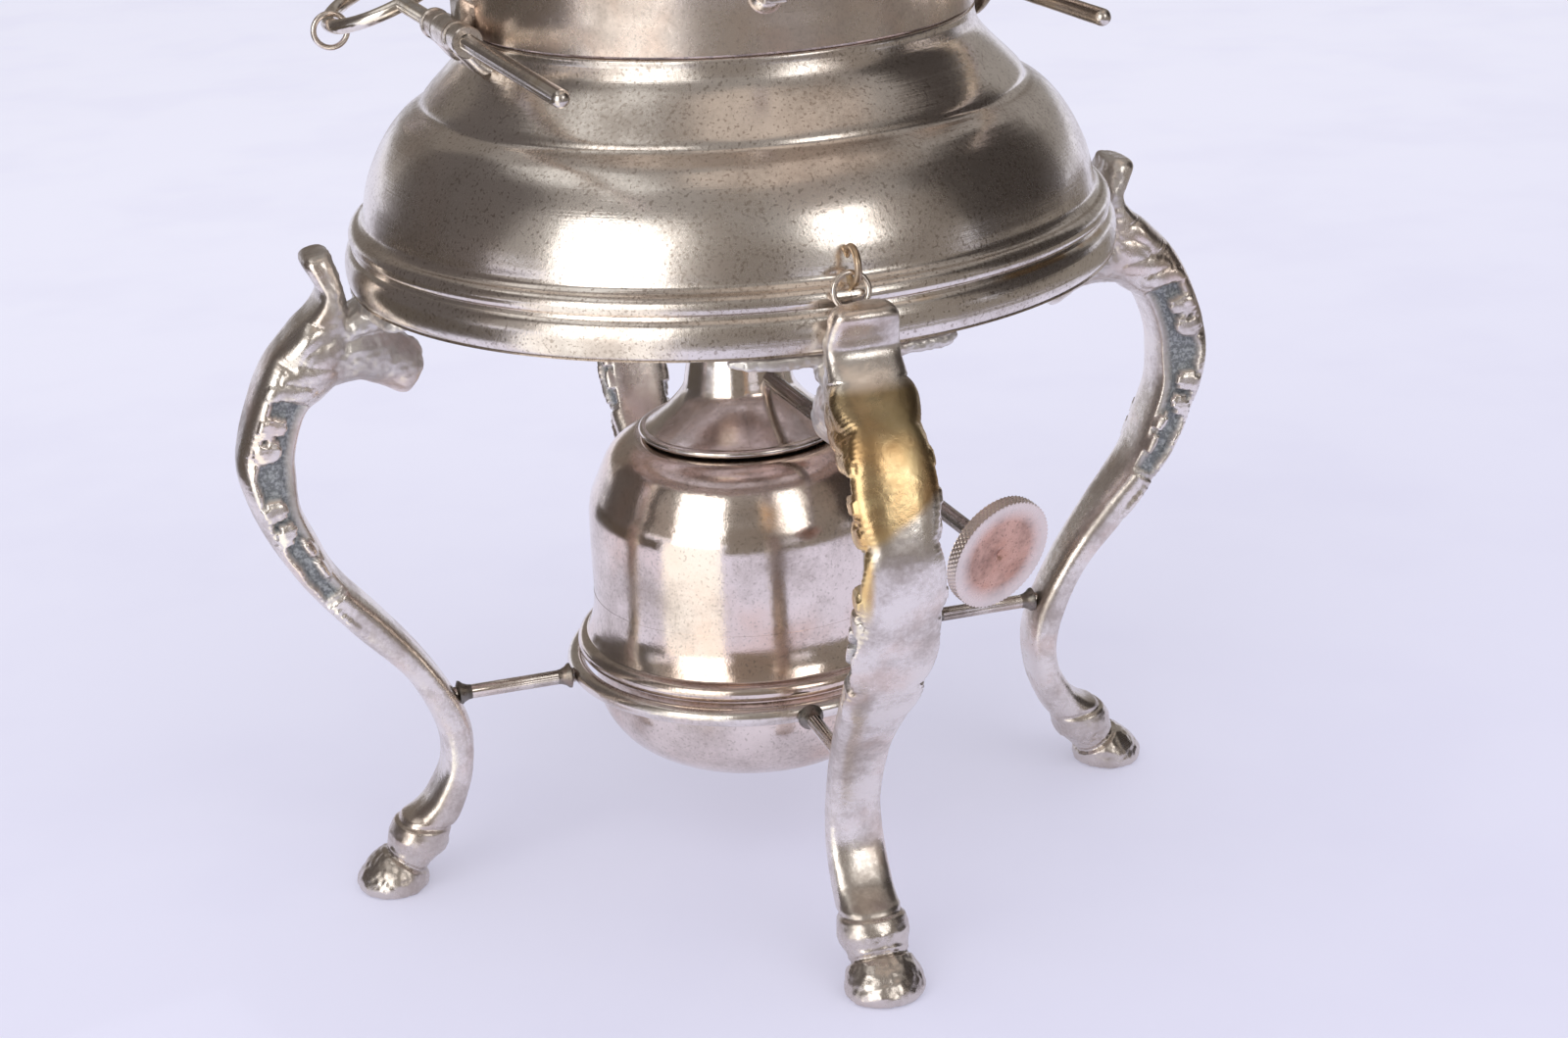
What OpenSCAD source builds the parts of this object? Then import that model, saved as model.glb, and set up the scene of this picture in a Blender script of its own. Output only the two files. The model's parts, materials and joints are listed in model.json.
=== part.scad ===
// Spirit kettle on stand. Millimetres, +Z up. The floor is z = 0 and the stand's axis is the origin.
// The front leg points along -Y. The kettle tilts to the right about the right hinge pin.

/* [Hood] */
// Diameter of the hood's rim.
rim_d = 150; // [148:0.5:151]
// Height of the rim's lower edge above the floor.
rim_z = 123.5; // [122:0.5:125]
// Outside diameter of the hood's neck.
neck_d = 96.8; // [96:0.2:97.6]
// Height of the hood's rolled lip.
neck_z = 170.8; // [169:0.2:172]
// Thickness of the sheet metal in the hood.
sheet_t = 1.2; // [1:0.1:1.3]

/* [Legs] */
// How far a leg's knee stands out past the rim.
knee_out = 24.9; // [23.5:0.1:26]
// Width of a leg at its knee.
leg_w = 13.8; // [12:0.2:15]
// Height of the scallops along a leg's edges.
scallop_h = 0.7; // [0:0.1:1.2]
// Depth of the hollows between the lobes on a leg's sides.
relief_d = 1.5; // [0:0.1:1.8]
// Half the angle that the arms under the rim span.
arm_angle = 17; // [12:0.5:19]

/* [Burner ring] */
// Distance from the flask's wall out to the middle of the ring's wire.
ring_out = 4.6; // [4.3:0.1:4.9]
// Thickness of the ring's wire.
ring_wire = 3.7; // [3.4:0.1:4]
// Height of the ring's wire.
ring_z = 39.5; // [39:0.1:40]
// Thickness of the spokes.
spoke_d = 2.9; // [2.4:0.1:3]

/* [Hinge pins] */
// Distance from the kettle's lower edge out to each hinge pin.
hinge_out = 3.8; // [3.6:0.1:4.6]
// Angle between the hinge pins and the line through the front and back legs.
hinge_turn = 4; // [2:0.5:6]
// Diameter of a hinge pin.
pin_d = 3.2; // [3:0.1:3.4]
// Outside diameter of a hinge knuckle.
knuckle_d = 5.8; // [5.4:0.1:6]
// Length of one knuckle.
knuckle_l = 7.7; // [6:0.1:8.5]
// Distance from the knuckles' middle to the left pin's domed tip.
left_pin_l = 70; // [60:1:74]
// Distance from the knuckles' middle to the right pin's domed tip.
right_pin_l = 58; // [50:1:66]
// Distance from the knuckles' middle back to the pull ring.
pin_back_l = 36; // [32:1:40]
// Radius of a pull ring, to the middle of its wire.
pull_ring_r = 13; // [11:0.5:15]
// Angle at which a pull ring's outer side hangs.
pull_ring_roll = 22; // [10:1:30]

/* [Kettle] */
// How far the kettle's lower edge stands out past the hood's neck.
kettle_out = 0.3; // [0.1:0.1:0.6]
// Height of the kettle's body.
kettle_h = 65; // [62:0.5:70]
// How far the kettle's body swells out past its lower edge.
kettle_swell = 7.3; // [5.5:0.1:8.3]
// Angle between the spout and the right leg.
kettle_turn = -6; // [-8:0.5:-4]
// Diameter of the kettle's mouth.
mouth_d = 58; // [54:0.5:60]
// Thickness of the kettle's sheet metal.
kettle_t = 1.2; // [1:0.1:1.4]
// Outside diameter of the spout at its tip.
spout_tip_d = 13; // [11:0.5:14]
// Height of the finial on the lid.
finial_h = 19; // [16:0.5:20]

/* [Handle] */
// Diameter of the handle's rod.
bail_d = 5; // [4:0.5:6]
// Height of the handle's top above its pivots.
bail_h = 76; // [75:0.5:80]
// Diameter of the handle's grip at its middle.
grip_d = 11; // [9:0.5:12]

/* [Burner] */
// Diameter of the burner's flask.
flask_d = 63.6; // [62:0.2:65]
// Height of the flask's bottom above the floor.
flask_z = 18.6; // [17:0.2:20]
// Height at which the cap sits.
cap_z = 87; // [86.5:0.1:88]
// Diameter of the cap's rolled flange.
cap_d = 41.2; // [40:0.2:43]
// Width of the wick.
wick_w = 11; // [9:0.5:12]
// Thickness of the wick.
wick_t = 2.4; // [2:0.1:2.6]

/* [Wick winder] */
// Diameter of the winder's rod.
rod_d = 3.1; // [2.8:0.1:3.3]
// Length of the rod from the wick to the knob's face.
rod_l = 81.1; // [78:0.1:84]
// Angle at which the rod slopes down.
rod_slope = 15.1; // [13:0.1:16.5]
// Direction of the rod, seen from above.
rod_turn = -69.8; // [-71:0.1:-67]
// Diameter of the knob.
knob_d = 22.6; // [20:0.2:23]
// Thickness of the knob.
knob_t = 2.6; // [2.2:0.1:3.2]
// Number of notches round the knob's edge.
knob_notches = 40; // [24:1:48]

/* [Hidden] */
$fa = 4;
$fs = 0.6;
R = rim_d / 2;
N = neck_d / 2;
K = N + kettle_out;
W = K + kettle_swell;
leg_reach = R + knee_out;
leg_k = rim_z / 123.5;
spoke_in = 37.8;
spoke_cut = 25.5;
fit = 0.05;
gap = 0.3;
hinge_r = K + hinge_out;
hinge_z = neck_z + 1.2;
kettle_z = neck_z + 0.4;
kettle_top = kettle_z + kettle_h;
mouth_r = mouth_d / 2;
pitch = knuckle_l + gap;
lid_hinge_x = -mouth_r - 4.4;
lid_hinge_z = kettle_top + 3.4;
pivot_z = kettle_top - 8;
pivot_y = W + 6.2;
flask_r = flask_d / 2;
ring_d = flask_d + 2 * ring_out;
bead_z = ring_z + 2;
cap_top = cap_z + 19;
rod_z = cap_z + 15;
wheel_r = 2.2;
wheel_bore = 1.6;
wick_y = -wheel_r - wick_t / 2 - 0.15;
silver = [0.62, 0.58, 0.55];
copper = [0.66, 0.5, 0.42];
gold = [0.72, 0.62, 0.44];
dark = [0.16, 0.12, 0.1];
cotton = [0.82, 0.78, 0.7];

// Points of an arc about c, from angle a to angle b in n steps.
function arc(c, r, a, b, n) = [for (i = [0:n]) c + r * [cos(a + (b - a) * i / n), sin(a + (b - a) * i / n)]];

// One value between b and c, on a smooth line through a, b, c and d.
function between(a, b, c, d, t) = 0.5 * (2 * b + (c - a) * t + (2 * a - 5 * b + 4 * c - d) * t * t
  + (3 * b - a - 3 * c + d) * t * t * t);

// A smooth line through the points of p, with n steps from one to the next.
function curve(p, n) = [for (i = [0:len(p) - 2]) for (j = [0:n - 1])
    between(p[max(i - 1, 0)], p[i], p[i + 1], p[min(i + 2, len(p) - 1)], j / n), p[len(p) - 1]];

// The same points in the opposite order.
function reversed(p) = [for (i = [len(p) - 1:-1:0]) p[i]];

// The points moved sideways by t, for the inside of a sheet-metal wall.
function inset(p, t) = [for (i = [0:len(p) - 1]) let (d = p[min(i + 1, len(p) - 1)] - p[max(i - 1, 0)])
    p[i] + t * [-d[1], d[0]] / norm(d)];

// The faces of a solid that has m sections of n points each, along its line.
function loft_faces(m, n) = concat(
  [[for (k = [n - 1:-1:0]) k]],
  [[for (k = [0:n - 1]) (m - 1) * n + k]],
  [for (i = [0:m - 2]) for (k = [0:n - 1]) [i * n + k, i * n + (k + 1) % n, (i + 1) * n + k]],
  [for (i = [0:m - 2]) for (k = [0:n - 1])
    [i * n + (k + 1) % n, (i + 1) * n + (k + 1) % n, (i + 1) * n + k]]);

// A wall t thick, turned about the Z axis from the outside line p.
module shell(p, t) {
  rotate_extrude() polygon(concat(p, reversed(inset(p, t))));
}

// A round bar from a to b.
module bar(a, b, d) {
  v = b - a;
  translate(a)
    rotate([0, acos(v[2] / norm(v)), atan2(v[1], v[0])])
      cylinder(d = d, h = norm(v));
}

// A closed wire ring standing in the XY plane.
module wire_ring(r, d) {
  rotate_extrude() translate([r, 0]) circle(d = d);
}

// The frame of a hinge: +X along the pin to the front, +Y to the right, on the pin's axis.
module at_hinge(side) {
  rotate([0, 0, hinge_turn])
    translate([side * hinge_r, 0, hinge_z])
      rotate([0, 0, -90])
        children();
}

// The kettle's own frame: +X to the spout, on the stand's axis.
module at_kettle() {
  rotate([0, 0, kettle_turn]) children();
}

// The winder's frame: +X out along the rod to the knob, from the middle of the wick tube.
module at_winder() {
  translate([0, 0, rod_z])
    rotate([0, 0, rod_turn])
      rotate([0, rod_slope, 0])
        children();
}

// The hood: its outside and inside lines, from the rim up.
hood_outer = concat(
  [[R, rim_z], [R, rim_z + 6.4], [R - 0.9, rim_z + 7.2]],
  arc([R - 3.1, rim_z + 9.1], 1.8, -40, 90, 6),
  [[R - 3.9, rim_z + 11.4]],
  curve([[R - 4.3, rim_z + 12.6], [R - 4.5, rim_z + 14.5], [R - 5.6, rim_z + 18.8],
    [R - 7.7, rim_z + 23.5], [R - 10.3, rim_z + 27.5], [R - 12.6, rim_z + 29.7]], 4),
  arc([R - 13, rim_z + 30.6], 0.9, -30, 110, 4),
  [[R - 14.2, rim_z + 31.6]],
  curve([[R - 14.8, rim_z + 32.2], [N + 8.4, neck_z - 12.4], [N + 2.8, neck_z - 6.8],
    [N + 0.8, neck_z - 4], [N, neck_z - 2.4]], 3),
  arc([N - 0.1, neck_z - 1.1], 1.1, -40, 90, 5));
hood_inner = concat(
  [[N - 0.2 - sheet_t, neck_z - 0.7], [N - sheet_t, neck_z - 3]],
  reversed(curve([[R - 1 - sheet_t, rim_z + 9], [R - 4.6 - sheet_t, rim_z + 13],
    [R - 6 - sheet_t, rim_z + 18.6], [R - 8 - sheet_t, rim_z + 23],
    [R - 10.6 - sheet_t, rim_z + 26.4], [R - 14.8 - sheet_t, rim_z + 30.3],
    [N + 7.2 - sheet_t, neck_z - 12.2], [N + 1.6 - sheet_t, neck_z - 6.6]], 3)),
  [[R - sheet_t, rim_z + 6.4], [R - sheet_t, rim_z]]);

// Spun hood: rim band, moulding, convex shoulder, crease, cone and rolled neck.
module stand_hood() {
  color(silver) rotate_extrude() polygon(concat(hood_outer, hood_inner));
}

// What the hood fills, to cut other pieces where they meet its outside.
module hood_form() {
  rotate_extrude() polygon(concat([[0, rim_z]], hood_outer, [[0, neck_z]]));
}

// Sections down a leg: distance from the axis, height, tilt, thickness, width. The heights are
// drawn for a rim 123.5 above the floor and stretch with it.
leg_line = [
  [leg_reach - 18.8, 133.4, -8, 4.2, leg_w - 5.6],
  [leg_reach - 18.7, 132.2, -12, 5.8, leg_w - 2.2],
  [leg_reach - 20, 128.6, -12, 5.2, leg_w - 0.8],
  [leg_reach - 20.8, 125.4, -2, 4.8, leg_w - 0.4],
  [leg_reach - 19.9, 121.6, 14, 7.2, leg_w + 0.2],
  [leg_reach - 18.4, 117.2, 34, 11.4, leg_w + 1],
  [leg_reach - 16.6, 113.9, 43, 13.4, leg_w + 1.2],
  [leg_reach - 12.4, 109.7, 40, 13, leg_w + 1],
  [leg_reach - 8.8, 105, 23, 10.8, leg_w + 0.6],
  [leg_reach - 5.9, 97, 12.5, 10.7, leg_w + 0.4],
  [leg_reach - 5.3, 91, 0, 10.8, leg_w + 0.4],
  [leg_reach - 6.5, 83.2, -14, 8.9, leg_w + 1.2],
  [leg_reach - 9.9, 75.1, -27, 8, leg_w + 1.4],
  [leg_reach - 14.2, 67.2, -33, 6.8, leg_w + 1],
  [leg_reach - 21.8, 57.7, -36, 7, leg_w - 1],
  [leg_reach - 30.3, 46.9, -34, 5.9, leg_w - 2.8],
  [leg_reach - 36.2, 34.3, -24.5, 6.7, leg_w - 3.6],
  [leg_reach - 36.5, 25, 0, 6.1, leg_w - 2.8],
  [leg_reach - 33.4, 17.2, 35, 7.1, leg_w - 2.4],
  [leg_reach - 30.5, 13.8, 36, 8.2, leg_w - 2],
  [leg_reach - 28.1, 11.4, 30, 11.2, leg_w - 0.6],
  [leg_reach - 26.3, 8.6, 30, 10.6, leg_w - 1],
  [leg_reach - 24.7, 6.2, 28, 9.8, leg_w - 2],
  [leg_reach - 22.7, 3.6, 20, 12.6, leg_w + 0.6],
  [leg_reach - 21.3, 1.2, 6, 14.4, leg_w + 1.6],
  [leg_reach - 21.4, 0, 0, 13.4, leg_w + 0.8]];
// Lobes of the relief down a leg's sides: height of the middle, half length, rise.
lobes = [[113.8, 3.6, 1], [109.4, 1.7, 0.8], [101.5, 2, 1], [96.3, 2.5, 0.9], [84.9, 2.2, 1],
  [79.8, 2.6, 0.9], [75.8, 1.5, 0.5], [71.7, 1.8, 0.5]];
relief_top = 117;
relief_low = 66.5;
leg_sides = 20;

// The sections, close together along the relief and half as close elsewhere.
leg_rings = let (c = curve(leg_line, 5))
  [for (i = [0:len(c) - 1]) if (i % 5 == 0 || i % 5 == 2 || in_relief(c[i][1])) c[i]];

// How far the lobes rise at height z, from 0 in a hollow to 1 on top of a lobe.
function lobe_rise(z) = max([for (l = lobes)
    abs(z - l[0]) < l[1] ? l[2] * sqrt(1 - pow((z - l[0]) / l[1], 2)) : 0]);

// Whether height z lies within the relief.
function in_relief(z) = z < relief_top && z > relief_low;

// Rounded scallops with a sharp notch between each two, along the outer edges.
function scallop(z) = z < relief_top && z > 58 ? abs(sin(180 * (relief_top - z) / 14.5)) - 0.4 : 0;

// A rounded square section: the value on it for the sine or cosine v.
function rounded(v) = sign(v) * pow(abs(v), 0.75);

// The point at angle a round section s.
function leg_point(s, a) = let (
    x = s[3] / 2 * rounded(cos(a)),
    edge = cos(a) > 0.2 && abs(sin(a)) > 0.7 ? scallop_h * scallop(s[1]) : 0,
    cup = abs(sin(a)) > 0.94 && cos(a) < 0.2 && in_relief(s[1]) ? relief_d * (1 - lobe_rise(s[1])) : 0,
    y = sign(sin(a)) * (s[4] / 2 * abs(rounded(sin(a))) + edge - cup))
  [s[0] + x * cos(s[2]), y, leg_k * (s[1] + x * sin(s[2]))];

// The casting itself, from the tab outside the rim to the sole of the hoof.
module leg_casting() {
  n = leg_sides;
  m = len(leg_rings);
  polyhedron(
    points = [for (s = leg_rings) for (k = [0:n - 1]) leg_point(s, 360 * k / n)],
    faces = loft_faces(m, n));
}

// Lug behind the leg and the arms soldered under the rim.
module leg_root() {
  lug = concat([[R + 4, rim_z - 4], [R + 1.4, rim_z], [R - 6.4, rim_z], [R - 6.4, rim_z - 2.7],
      [R - 9.5, rim_z - 5.5]],
    arc([R - 6.8, rim_z - 13], 5.2, 160, 300, 9),
    [[R + 1, rim_z - 15.4], [R + 5, rim_z - 13]]);
  translate([0, 7, 0]) rotate([90, 0, 0]) linear_extrude(14) polygon(lug);
  rotate([0, 0, -arm_angle])
    rotate_extrude(angle = 2 * arm_angle)
      polygon([[R - 6, rim_z - 2.7], [R - 1.2, rim_z - 2.7], [R - 0.4, rim_z - 1.9],
        [R - 0.4, rim_z], [R - 6.4, rim_z], [R - 6.8, rim_z - 0.6], [R - 6.8, rim_z - 1.9]]);
}

// Cast cabriole leg with scalloped sides and a hoof foot, turned to its place.
module leg(turn) {
  color(silver) rotate([0, 0, turn]) {
    leg_casting();
    leg_root();
  }
}

module leg_front() {
  leg(-90);
}

module leg_right() {
  leg(0);
}

module leg_back() {
  leg(90);
}

module leg_left() {
  leg(180);
}

// Round wire ring that the burner's bead rests on.
module burner_ring() {
  color(silver) translate([0, 0, ring_z]) wire_ring(ring_d / 2, ring_wire);
}

// Four wires from the ring to the legs, each mitred to the slope of its leg.
module ring_spokes() {
  end = leg_reach - spoke_in + tan(spoke_cut) * (ring_z - 39.5);
  color(silver) difference() {
    for (a = [0:90:270])
      rotate([0, 0, a])
        difference() {
          bar([ring_d / 2 + 0.3, 0, ring_z - 0.2], [end + 3, 0, ring_z - 0.2], spoke_d);
          translate([end, 0, ring_z - 0.2])
            rotate([0, spoke_cut, 0])
              translate([0, -5, -10])
                cube([10, 10, 20]);
        }
    burner_ring();
  }
}

// One knuckle of the given length, centred on x.
module knuckle(x, l) {
  translate([x - l / 2, 0, 0])
    rotate([0, 90, 0])
      difference() {
        cylinder(d = knuckle_d, h = l);
        translate([0, 0, -1]) cylinder(d = pin_d + 2 * fit, h = l + 2);
      }
}

// Front and rear knuckle with the feet that stand on the hood's cone.
module stand_knuckles(side) {
  for (s = [-1, 1])
    at_hinge(side) knuckle(s * pitch, knuckle_l);
  difference() {
    for (s = [-1, 1])
      at_hinge(side)
        difference() {
          translate([s * pitch - knuckle_l / 2 + 0.6, -knuckle_d / 2 + 0.4, -14])
            cube([knuckle_l - 1.2, knuckle_d - 0.8, 14]);
          translate([s * pitch - knuckle_l, 0, 0])
            rotate([0, 90, 0])
              cylinder(d = knuckle_d - 0.6, h = 2 * knuckle_l);
        }
    hood_form();
  }
}

module left_stand_knuckles() {
  color(silver) stand_knuckles(-1);
}

module right_stand_knuckles() {
  color(silver) stand_knuckles(1);
}

// Long pin with a domed tip and a pull ring at its rear end.
module hinge_pin(front_l, side) {
  rotate([0, 90, 0])
    translate([0, 0, -pin_back_l])
      cylinder(d = pin_d, h = pin_back_l + front_l - pin_d / 2);
  translate([front_l - pin_d / 2, 0, 0]) sphere(d = pin_d);
  rotate([side * pull_ring_roll, 0, 0])
    translate([-pin_back_l - pull_ring_r, 0, 0])
      wire_ring(pull_ring_r, pin_d - 0.2);
}

module left_pin() {
  color(silver) at_hinge(-1) hinge_pin(left_pin_l, 1);
}

module right_pin() {
  color(silver) at_hinge(1) hinge_pin(right_pin_l, -1);
}

// Small link that hangs on the outer side of the left pin's ring.
module pin_link() {
  color(silver)
    at_hinge(-1)
      rotate([pull_ring_roll, 0, 0])
        translate([-pin_back_l - pull_ring_r, -pull_ring_r, 0])
          rotate([-pull_ring_roll, 0, 0])
            translate([0, 0, -1.1])
              rotate([90, 0, 90])
                wire_ring(3.4, 1.2);
}

// Wire staple in the front of the shoulder.
module chain_staple() {
  color(gold)
    difference() {
      translate([1, -R + 2.2, rim_z + 14.6])
        rotate([0, 90, 0])
          wire_ring(3.2, 1.3);
      hood_form();
    }
}

// Loose link in the staple, hanging clear of the rim and swung to the left.
module staple_link() {
  color(silver)
    translate([1, -R + 0.2, rim_z + 12.1])
      rotate([-12, 0, 0])
        rotate([0, 40, 0])
          translate([0, 0, -1.75])
            rotate([90, 0, 0])
              wire_ring(3.2, 1);
}

// The kettle's outside line, from its lower edge to its mouth.
kettle_wall = concat(
  [[K, kettle_z]],
  curve([[K, kettle_z + 4], [K + 0.2, kettle_z + 10], [K + 2.2, kettle_z + 22],
    [W - 1, kettle_z + 40], [W, kettle_z + 46], [W - 0.8, kettle_z + 51.5],
    [W - 4.5, kettle_z + 56.5], [W - 11, kettle_z + 60.3], [mouth_r + 8, kettle_top - 2.4],
    [mouth_r + 3, kettle_top - 1.4]], 4),
  [[mouth_r + 1.6, kettle_top - 0.8], [mouth_r + 1.2, kettle_top]]);

// The spout's line: distance from the axis, height, diameter.
spout_line = curve([[W - 6, kettle_z + 24, spout_tip_d + 14], [W + 4, kettle_z + 29, spout_tip_d + 11],
  [W + 14, kettle_z + 40, spout_tip_d + 6], [W + 21, kettle_z + 55, spout_tip_d + 3],
  [W + 28.5, kettle_z + 68, spout_tip_d + 1], [W + 35.5, kettle_z + 74.5, spout_tip_d]], 3);

// Direction of the spout's line at its point i, as an angle above level.
function spout_angle(i) = let (d = spout_line[min(i + 1, len(spout_line) - 1)]
    - spout_line[max(i - 1, 0)]) atan2(d[1], d[0]);

// Solid along the spout's line, thinner all round by t.
module spout_form(t) {
  n = 20;
  m = len(spout_line);
  polyhedron(
    points = [for (i = [0:m - 1]) for (k = [0:n - 1]) let (s = spout_line[i], a = spout_angle(i),
        r = s[2] / 2 - t, e = (i == m - 1 ? t * 0.2 : i == 0 ? -t * 0.2 : 0))
      [s[0] - r * cos(360 * k / n) * sin(a) + e * cos(a), r * sin(360 * k / n),
        s[1] + r * cos(360 * k / n) * cos(a) + e * sin(a)]],
    faces = loft_faces(m, n));
}

// What the kettle's body fills, to cut other pieces where they meet its outside.
module kettle_form() {
  rotate_extrude() polygon(concat([[0, kettle_z]], kettle_wall, [[0, kettle_top]]));
}

// Spun body with an opening into the spout.
module kettle_body() {
  color(copper)
    at_kettle()
      difference() {
        shell(kettle_wall, kettle_t);
        translate([W - 12, 0, kettle_z + 29])
          rotate([0, 68, 0])
            cylinder(d = spout_tip_d + 1, h = 30);
      }
}

// Flat base with the step that centres the kettle in the hood's neck.
module kettle_base() {
  b = N - sheet_t - 0.6;
  color(copper)
    at_kettle()
      rotate_extrude()
        polygon([[0, kettle_z - 3.6], [b - 1.5, kettle_z - 3.6], [b, kettle_z - 2.2], [b, kettle_z],
          [K - kettle_t, kettle_z], [K - kettle_t, kettle_z + 1.2], [b - 1.2, kettle_z + 1.2],
          [b - 1.2, kettle_z - 2.4], [0, kettle_z - 2.4]]);
}

// Hook on the kettle's left side, open below so that it lifts off the left pin.
module kettle_left_hook() {
  color(silver)
    difference() {
      at_hinge(-1) {
        difference() {
          union() {
            knuckle(0, knuckle_l);
            translate([-knuckle_l / 2 + 0.4, 1.2, 0.6]) cube([knuckle_l - 0.8, 4, 6.4]);
          }
          translate([-knuckle_l, -pin_d / 2 - 0.15, -knuckle_d])
            cube([2 * knuckle_l, pin_d + 0.3, knuckle_d]);
          translate([-knuckle_l, 0, 0]) rotate([0, 90, 0]) cylinder(d = pin_d + 2 * fit, h = 2 * knuckle_l);
        }
      }
      at_kettle() kettle_form();
    }
}

// Knuckle on the kettle's right side, round the pin that it tilts on.
module kettle_right_knuckle() {
  color(silver)
    difference() {
      at_hinge(1) {
        difference() {
          union() {
            knuckle(0, knuckle_l);
            translate([-knuckle_l / 2 + 0.4, -5.2, 0.6]) cube([knuckle_l - 0.8, 4, 6.4]);
          }
          translate([-knuckle_l, 0, 0]) rotate([0, 90, 0]) cylinder(d = pin_d + 2 * fit, h = 2 * knuckle_l);
        }
      }
      at_kettle() kettle_form();
    }
}

// Tapered spout with an open mouth.
module spout() {
  color(copper)
    at_kettle()
      difference() {
        spout_form(0);
        spout_form(1.2);
        kettle_form();
      }
}

// Cast ear: a tail down to the boss near the kettle's edge, and an eye for the handle.
module handle_ear(side) {
  color(silver)
    at_kettle()
      difference() {
        union() {
          translate([0, side * (K + 0.4), kettle_z + 10])
            sphere(d = 6.5);
          translate([-2.2, side > 0 ? K - 1 : -W - 2.4, kettle_z + 10])
            cube([4.4, W + 2.4 - K + 1, pivot_z - kettle_z - 10]);
          translate([0, side * (W - 3), pivot_z])
            rotate([-side * 90, 0, 0])
              cylinder(d = 11, h = 5.8);
          translate([0, side * (W + 2.5), pivot_z])
            rotate([-side * 90, 0, 0])
              cylinder(d = 4, h = 8.2);
          translate([0, side * (W + 9.7), pivot_z])
            rotate([-side * 90, 0, 0])
              cylinder(d = 6.5, h = 1.6);
        }
        kettle_form();
      }
}

module handle_ear_front() {
  handle_ear(-1);
}

module handle_ear_back() {
  handle_ear(1);
}

// Lower leaf of the lid's hinge: two knuckles and a strap on the shoulder.
module lid_hinge_leaf() {
  color(silver)
    at_kettle()
      difference() {
        translate([lid_hinge_x, 0, lid_hinge_z]) {
          for (s = [-1, 1]) {
            translate([0, s * 5.6 - 2.5, 0]) rotate([-90, 0, 0]) cylinder(d = 4.4, h = 5);
            translate([-2.2, s * 5.6 - 2.5, -4.6]) cube([4.4, 5, 4.6]);
          }
          translate([-8.5, -8.1, -7]) cube([9.5, 16.2, 3.9]);
        }
        kettle_form();
        translate([lid_hinge_x, -10, lid_hinge_z]) rotate([-90, 0, 0]) cylinder(d = 2.1, h = 20);
      }
}

module lid_hinge_pin() {
  color(gold)
    at_kettle()
      translate([lid_hinge_x, -8.6, lid_hinge_z]) rotate([-90, 0, 0]) cylinder(d = 2, h = 17.2);
}

// The lid's outside line, from its rim to the hole for the finial.
lid_line = concat(
  [[mouth_r + 2.4, kettle_top + 0.3], [mouth_r + 2.6, kettle_top + 1.1], [mouth_r + 2, kettle_top + 1.9]],
  curve([[mouth_r + 0.6, kettle_top + 2.3], [mouth_r - 4, kettle_top + 5.2], [mouth_r - 11, kettle_top + 9],
    [10, kettle_top + 13], [4, kettle_top + 13.8]], 4));

// Domed lid with a rolled rim that rests on the mouth.
module lid_cover() {
  color(copper)
    at_kettle()
      difference() {
        rotate_extrude()
          polygon(concat(lid_line, [[2.1, kettle_top + 13.9], [2.1, kettle_top + 12.9]],
            reversed([for (p = lid_line) if (p[0] < mouth_r - 1.4) p - [0, 1.1]]),
            [[mouth_r - 1.6, kettle_top + 1.3], [mouth_r - 1.6, kettle_top + 0.3]]));
        translate([lid_hinge_x, -3, lid_hinge_z]) rotate([-90, 0, 0]) cylinder(d = 5.2, h = 6);
        for (s = [-1, 1])
          translate([lid_hinge_x - 3, s * 5.6 - 2.8, kettle_top - 6]) cube([6, 5.6, 14]);
      }
}

// Ring soldered under the lid, which drops into the mouth and centres it.
module lid_bezel() {
  color(copper)
    at_kettle()
      rotate_extrude()
        polygon([[mouth_r - 1.5, kettle_top - 5], [mouth_r - 0.5, kettle_top - 5],
          [mouth_r - 0.5, kettle_top + 0.3], [mouth_r - 1.5, kettle_top + 0.3]]);
}

// Upper leaf: one knuckle and a strap on the lid.
module lid_leaf() {
  color(silver)
    at_kettle()
      difference() {
        union() {
          translate([lid_hinge_x, -2.8, lid_hinge_z]) rotate([-90, 0, 0]) cylinder(d = 4.4, h = 5.6);
          translate([lid_hinge_x, -2.8, lid_hinge_z - 1.2]) cube([9.5, 5.6, 4.2]);
        }
        rotate_extrude() polygon(concat([[0, kettle_top - 5]], [[mouth_r + 2.4, kettle_top - 5]], lid_line,
            [[0, kettle_top + 13.9]]));
        translate([lid_hinge_x, -10, lid_hinge_z]) rotate([-90, 0, 0]) cylinder(d = 2.1, h = 20);
      }
}

// Turned finial with a stud through the lid.
module lid_finial() {
  z = kettle_top + 13.9;
  color(dark)
    at_kettle()
      rotate_extrude()
        polygon(concat([[0, z - 4.6], [1.9, z - 4.6], [1.9, z], [5.2, z]],
          curve([[5, z + 1.4], [2.8, z + 3.4], [2.6, z + 5.2], [5.6, z + 8.4], [6.6, z + 11.5],
            [5.4, z + 15], [2.4, z + finial_h - 1.4], [0, z + finial_h]], 4)));
}

// Nut that holds the finial from inside the lid.
module finial_nut() {
  z = kettle_top + 12.7;
  color(gold)
    at_kettle()
      difference() {
        translate([0, 0, z - 2.4]) cylinder(d = 7, h = 2.4, $fn = 6);
        translate([0, 0, z - 4]) cylinder(d = 3.8, h = 6);
      }
}

bail_top = pivot_z + bail_h;
bail_r = 30;

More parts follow.
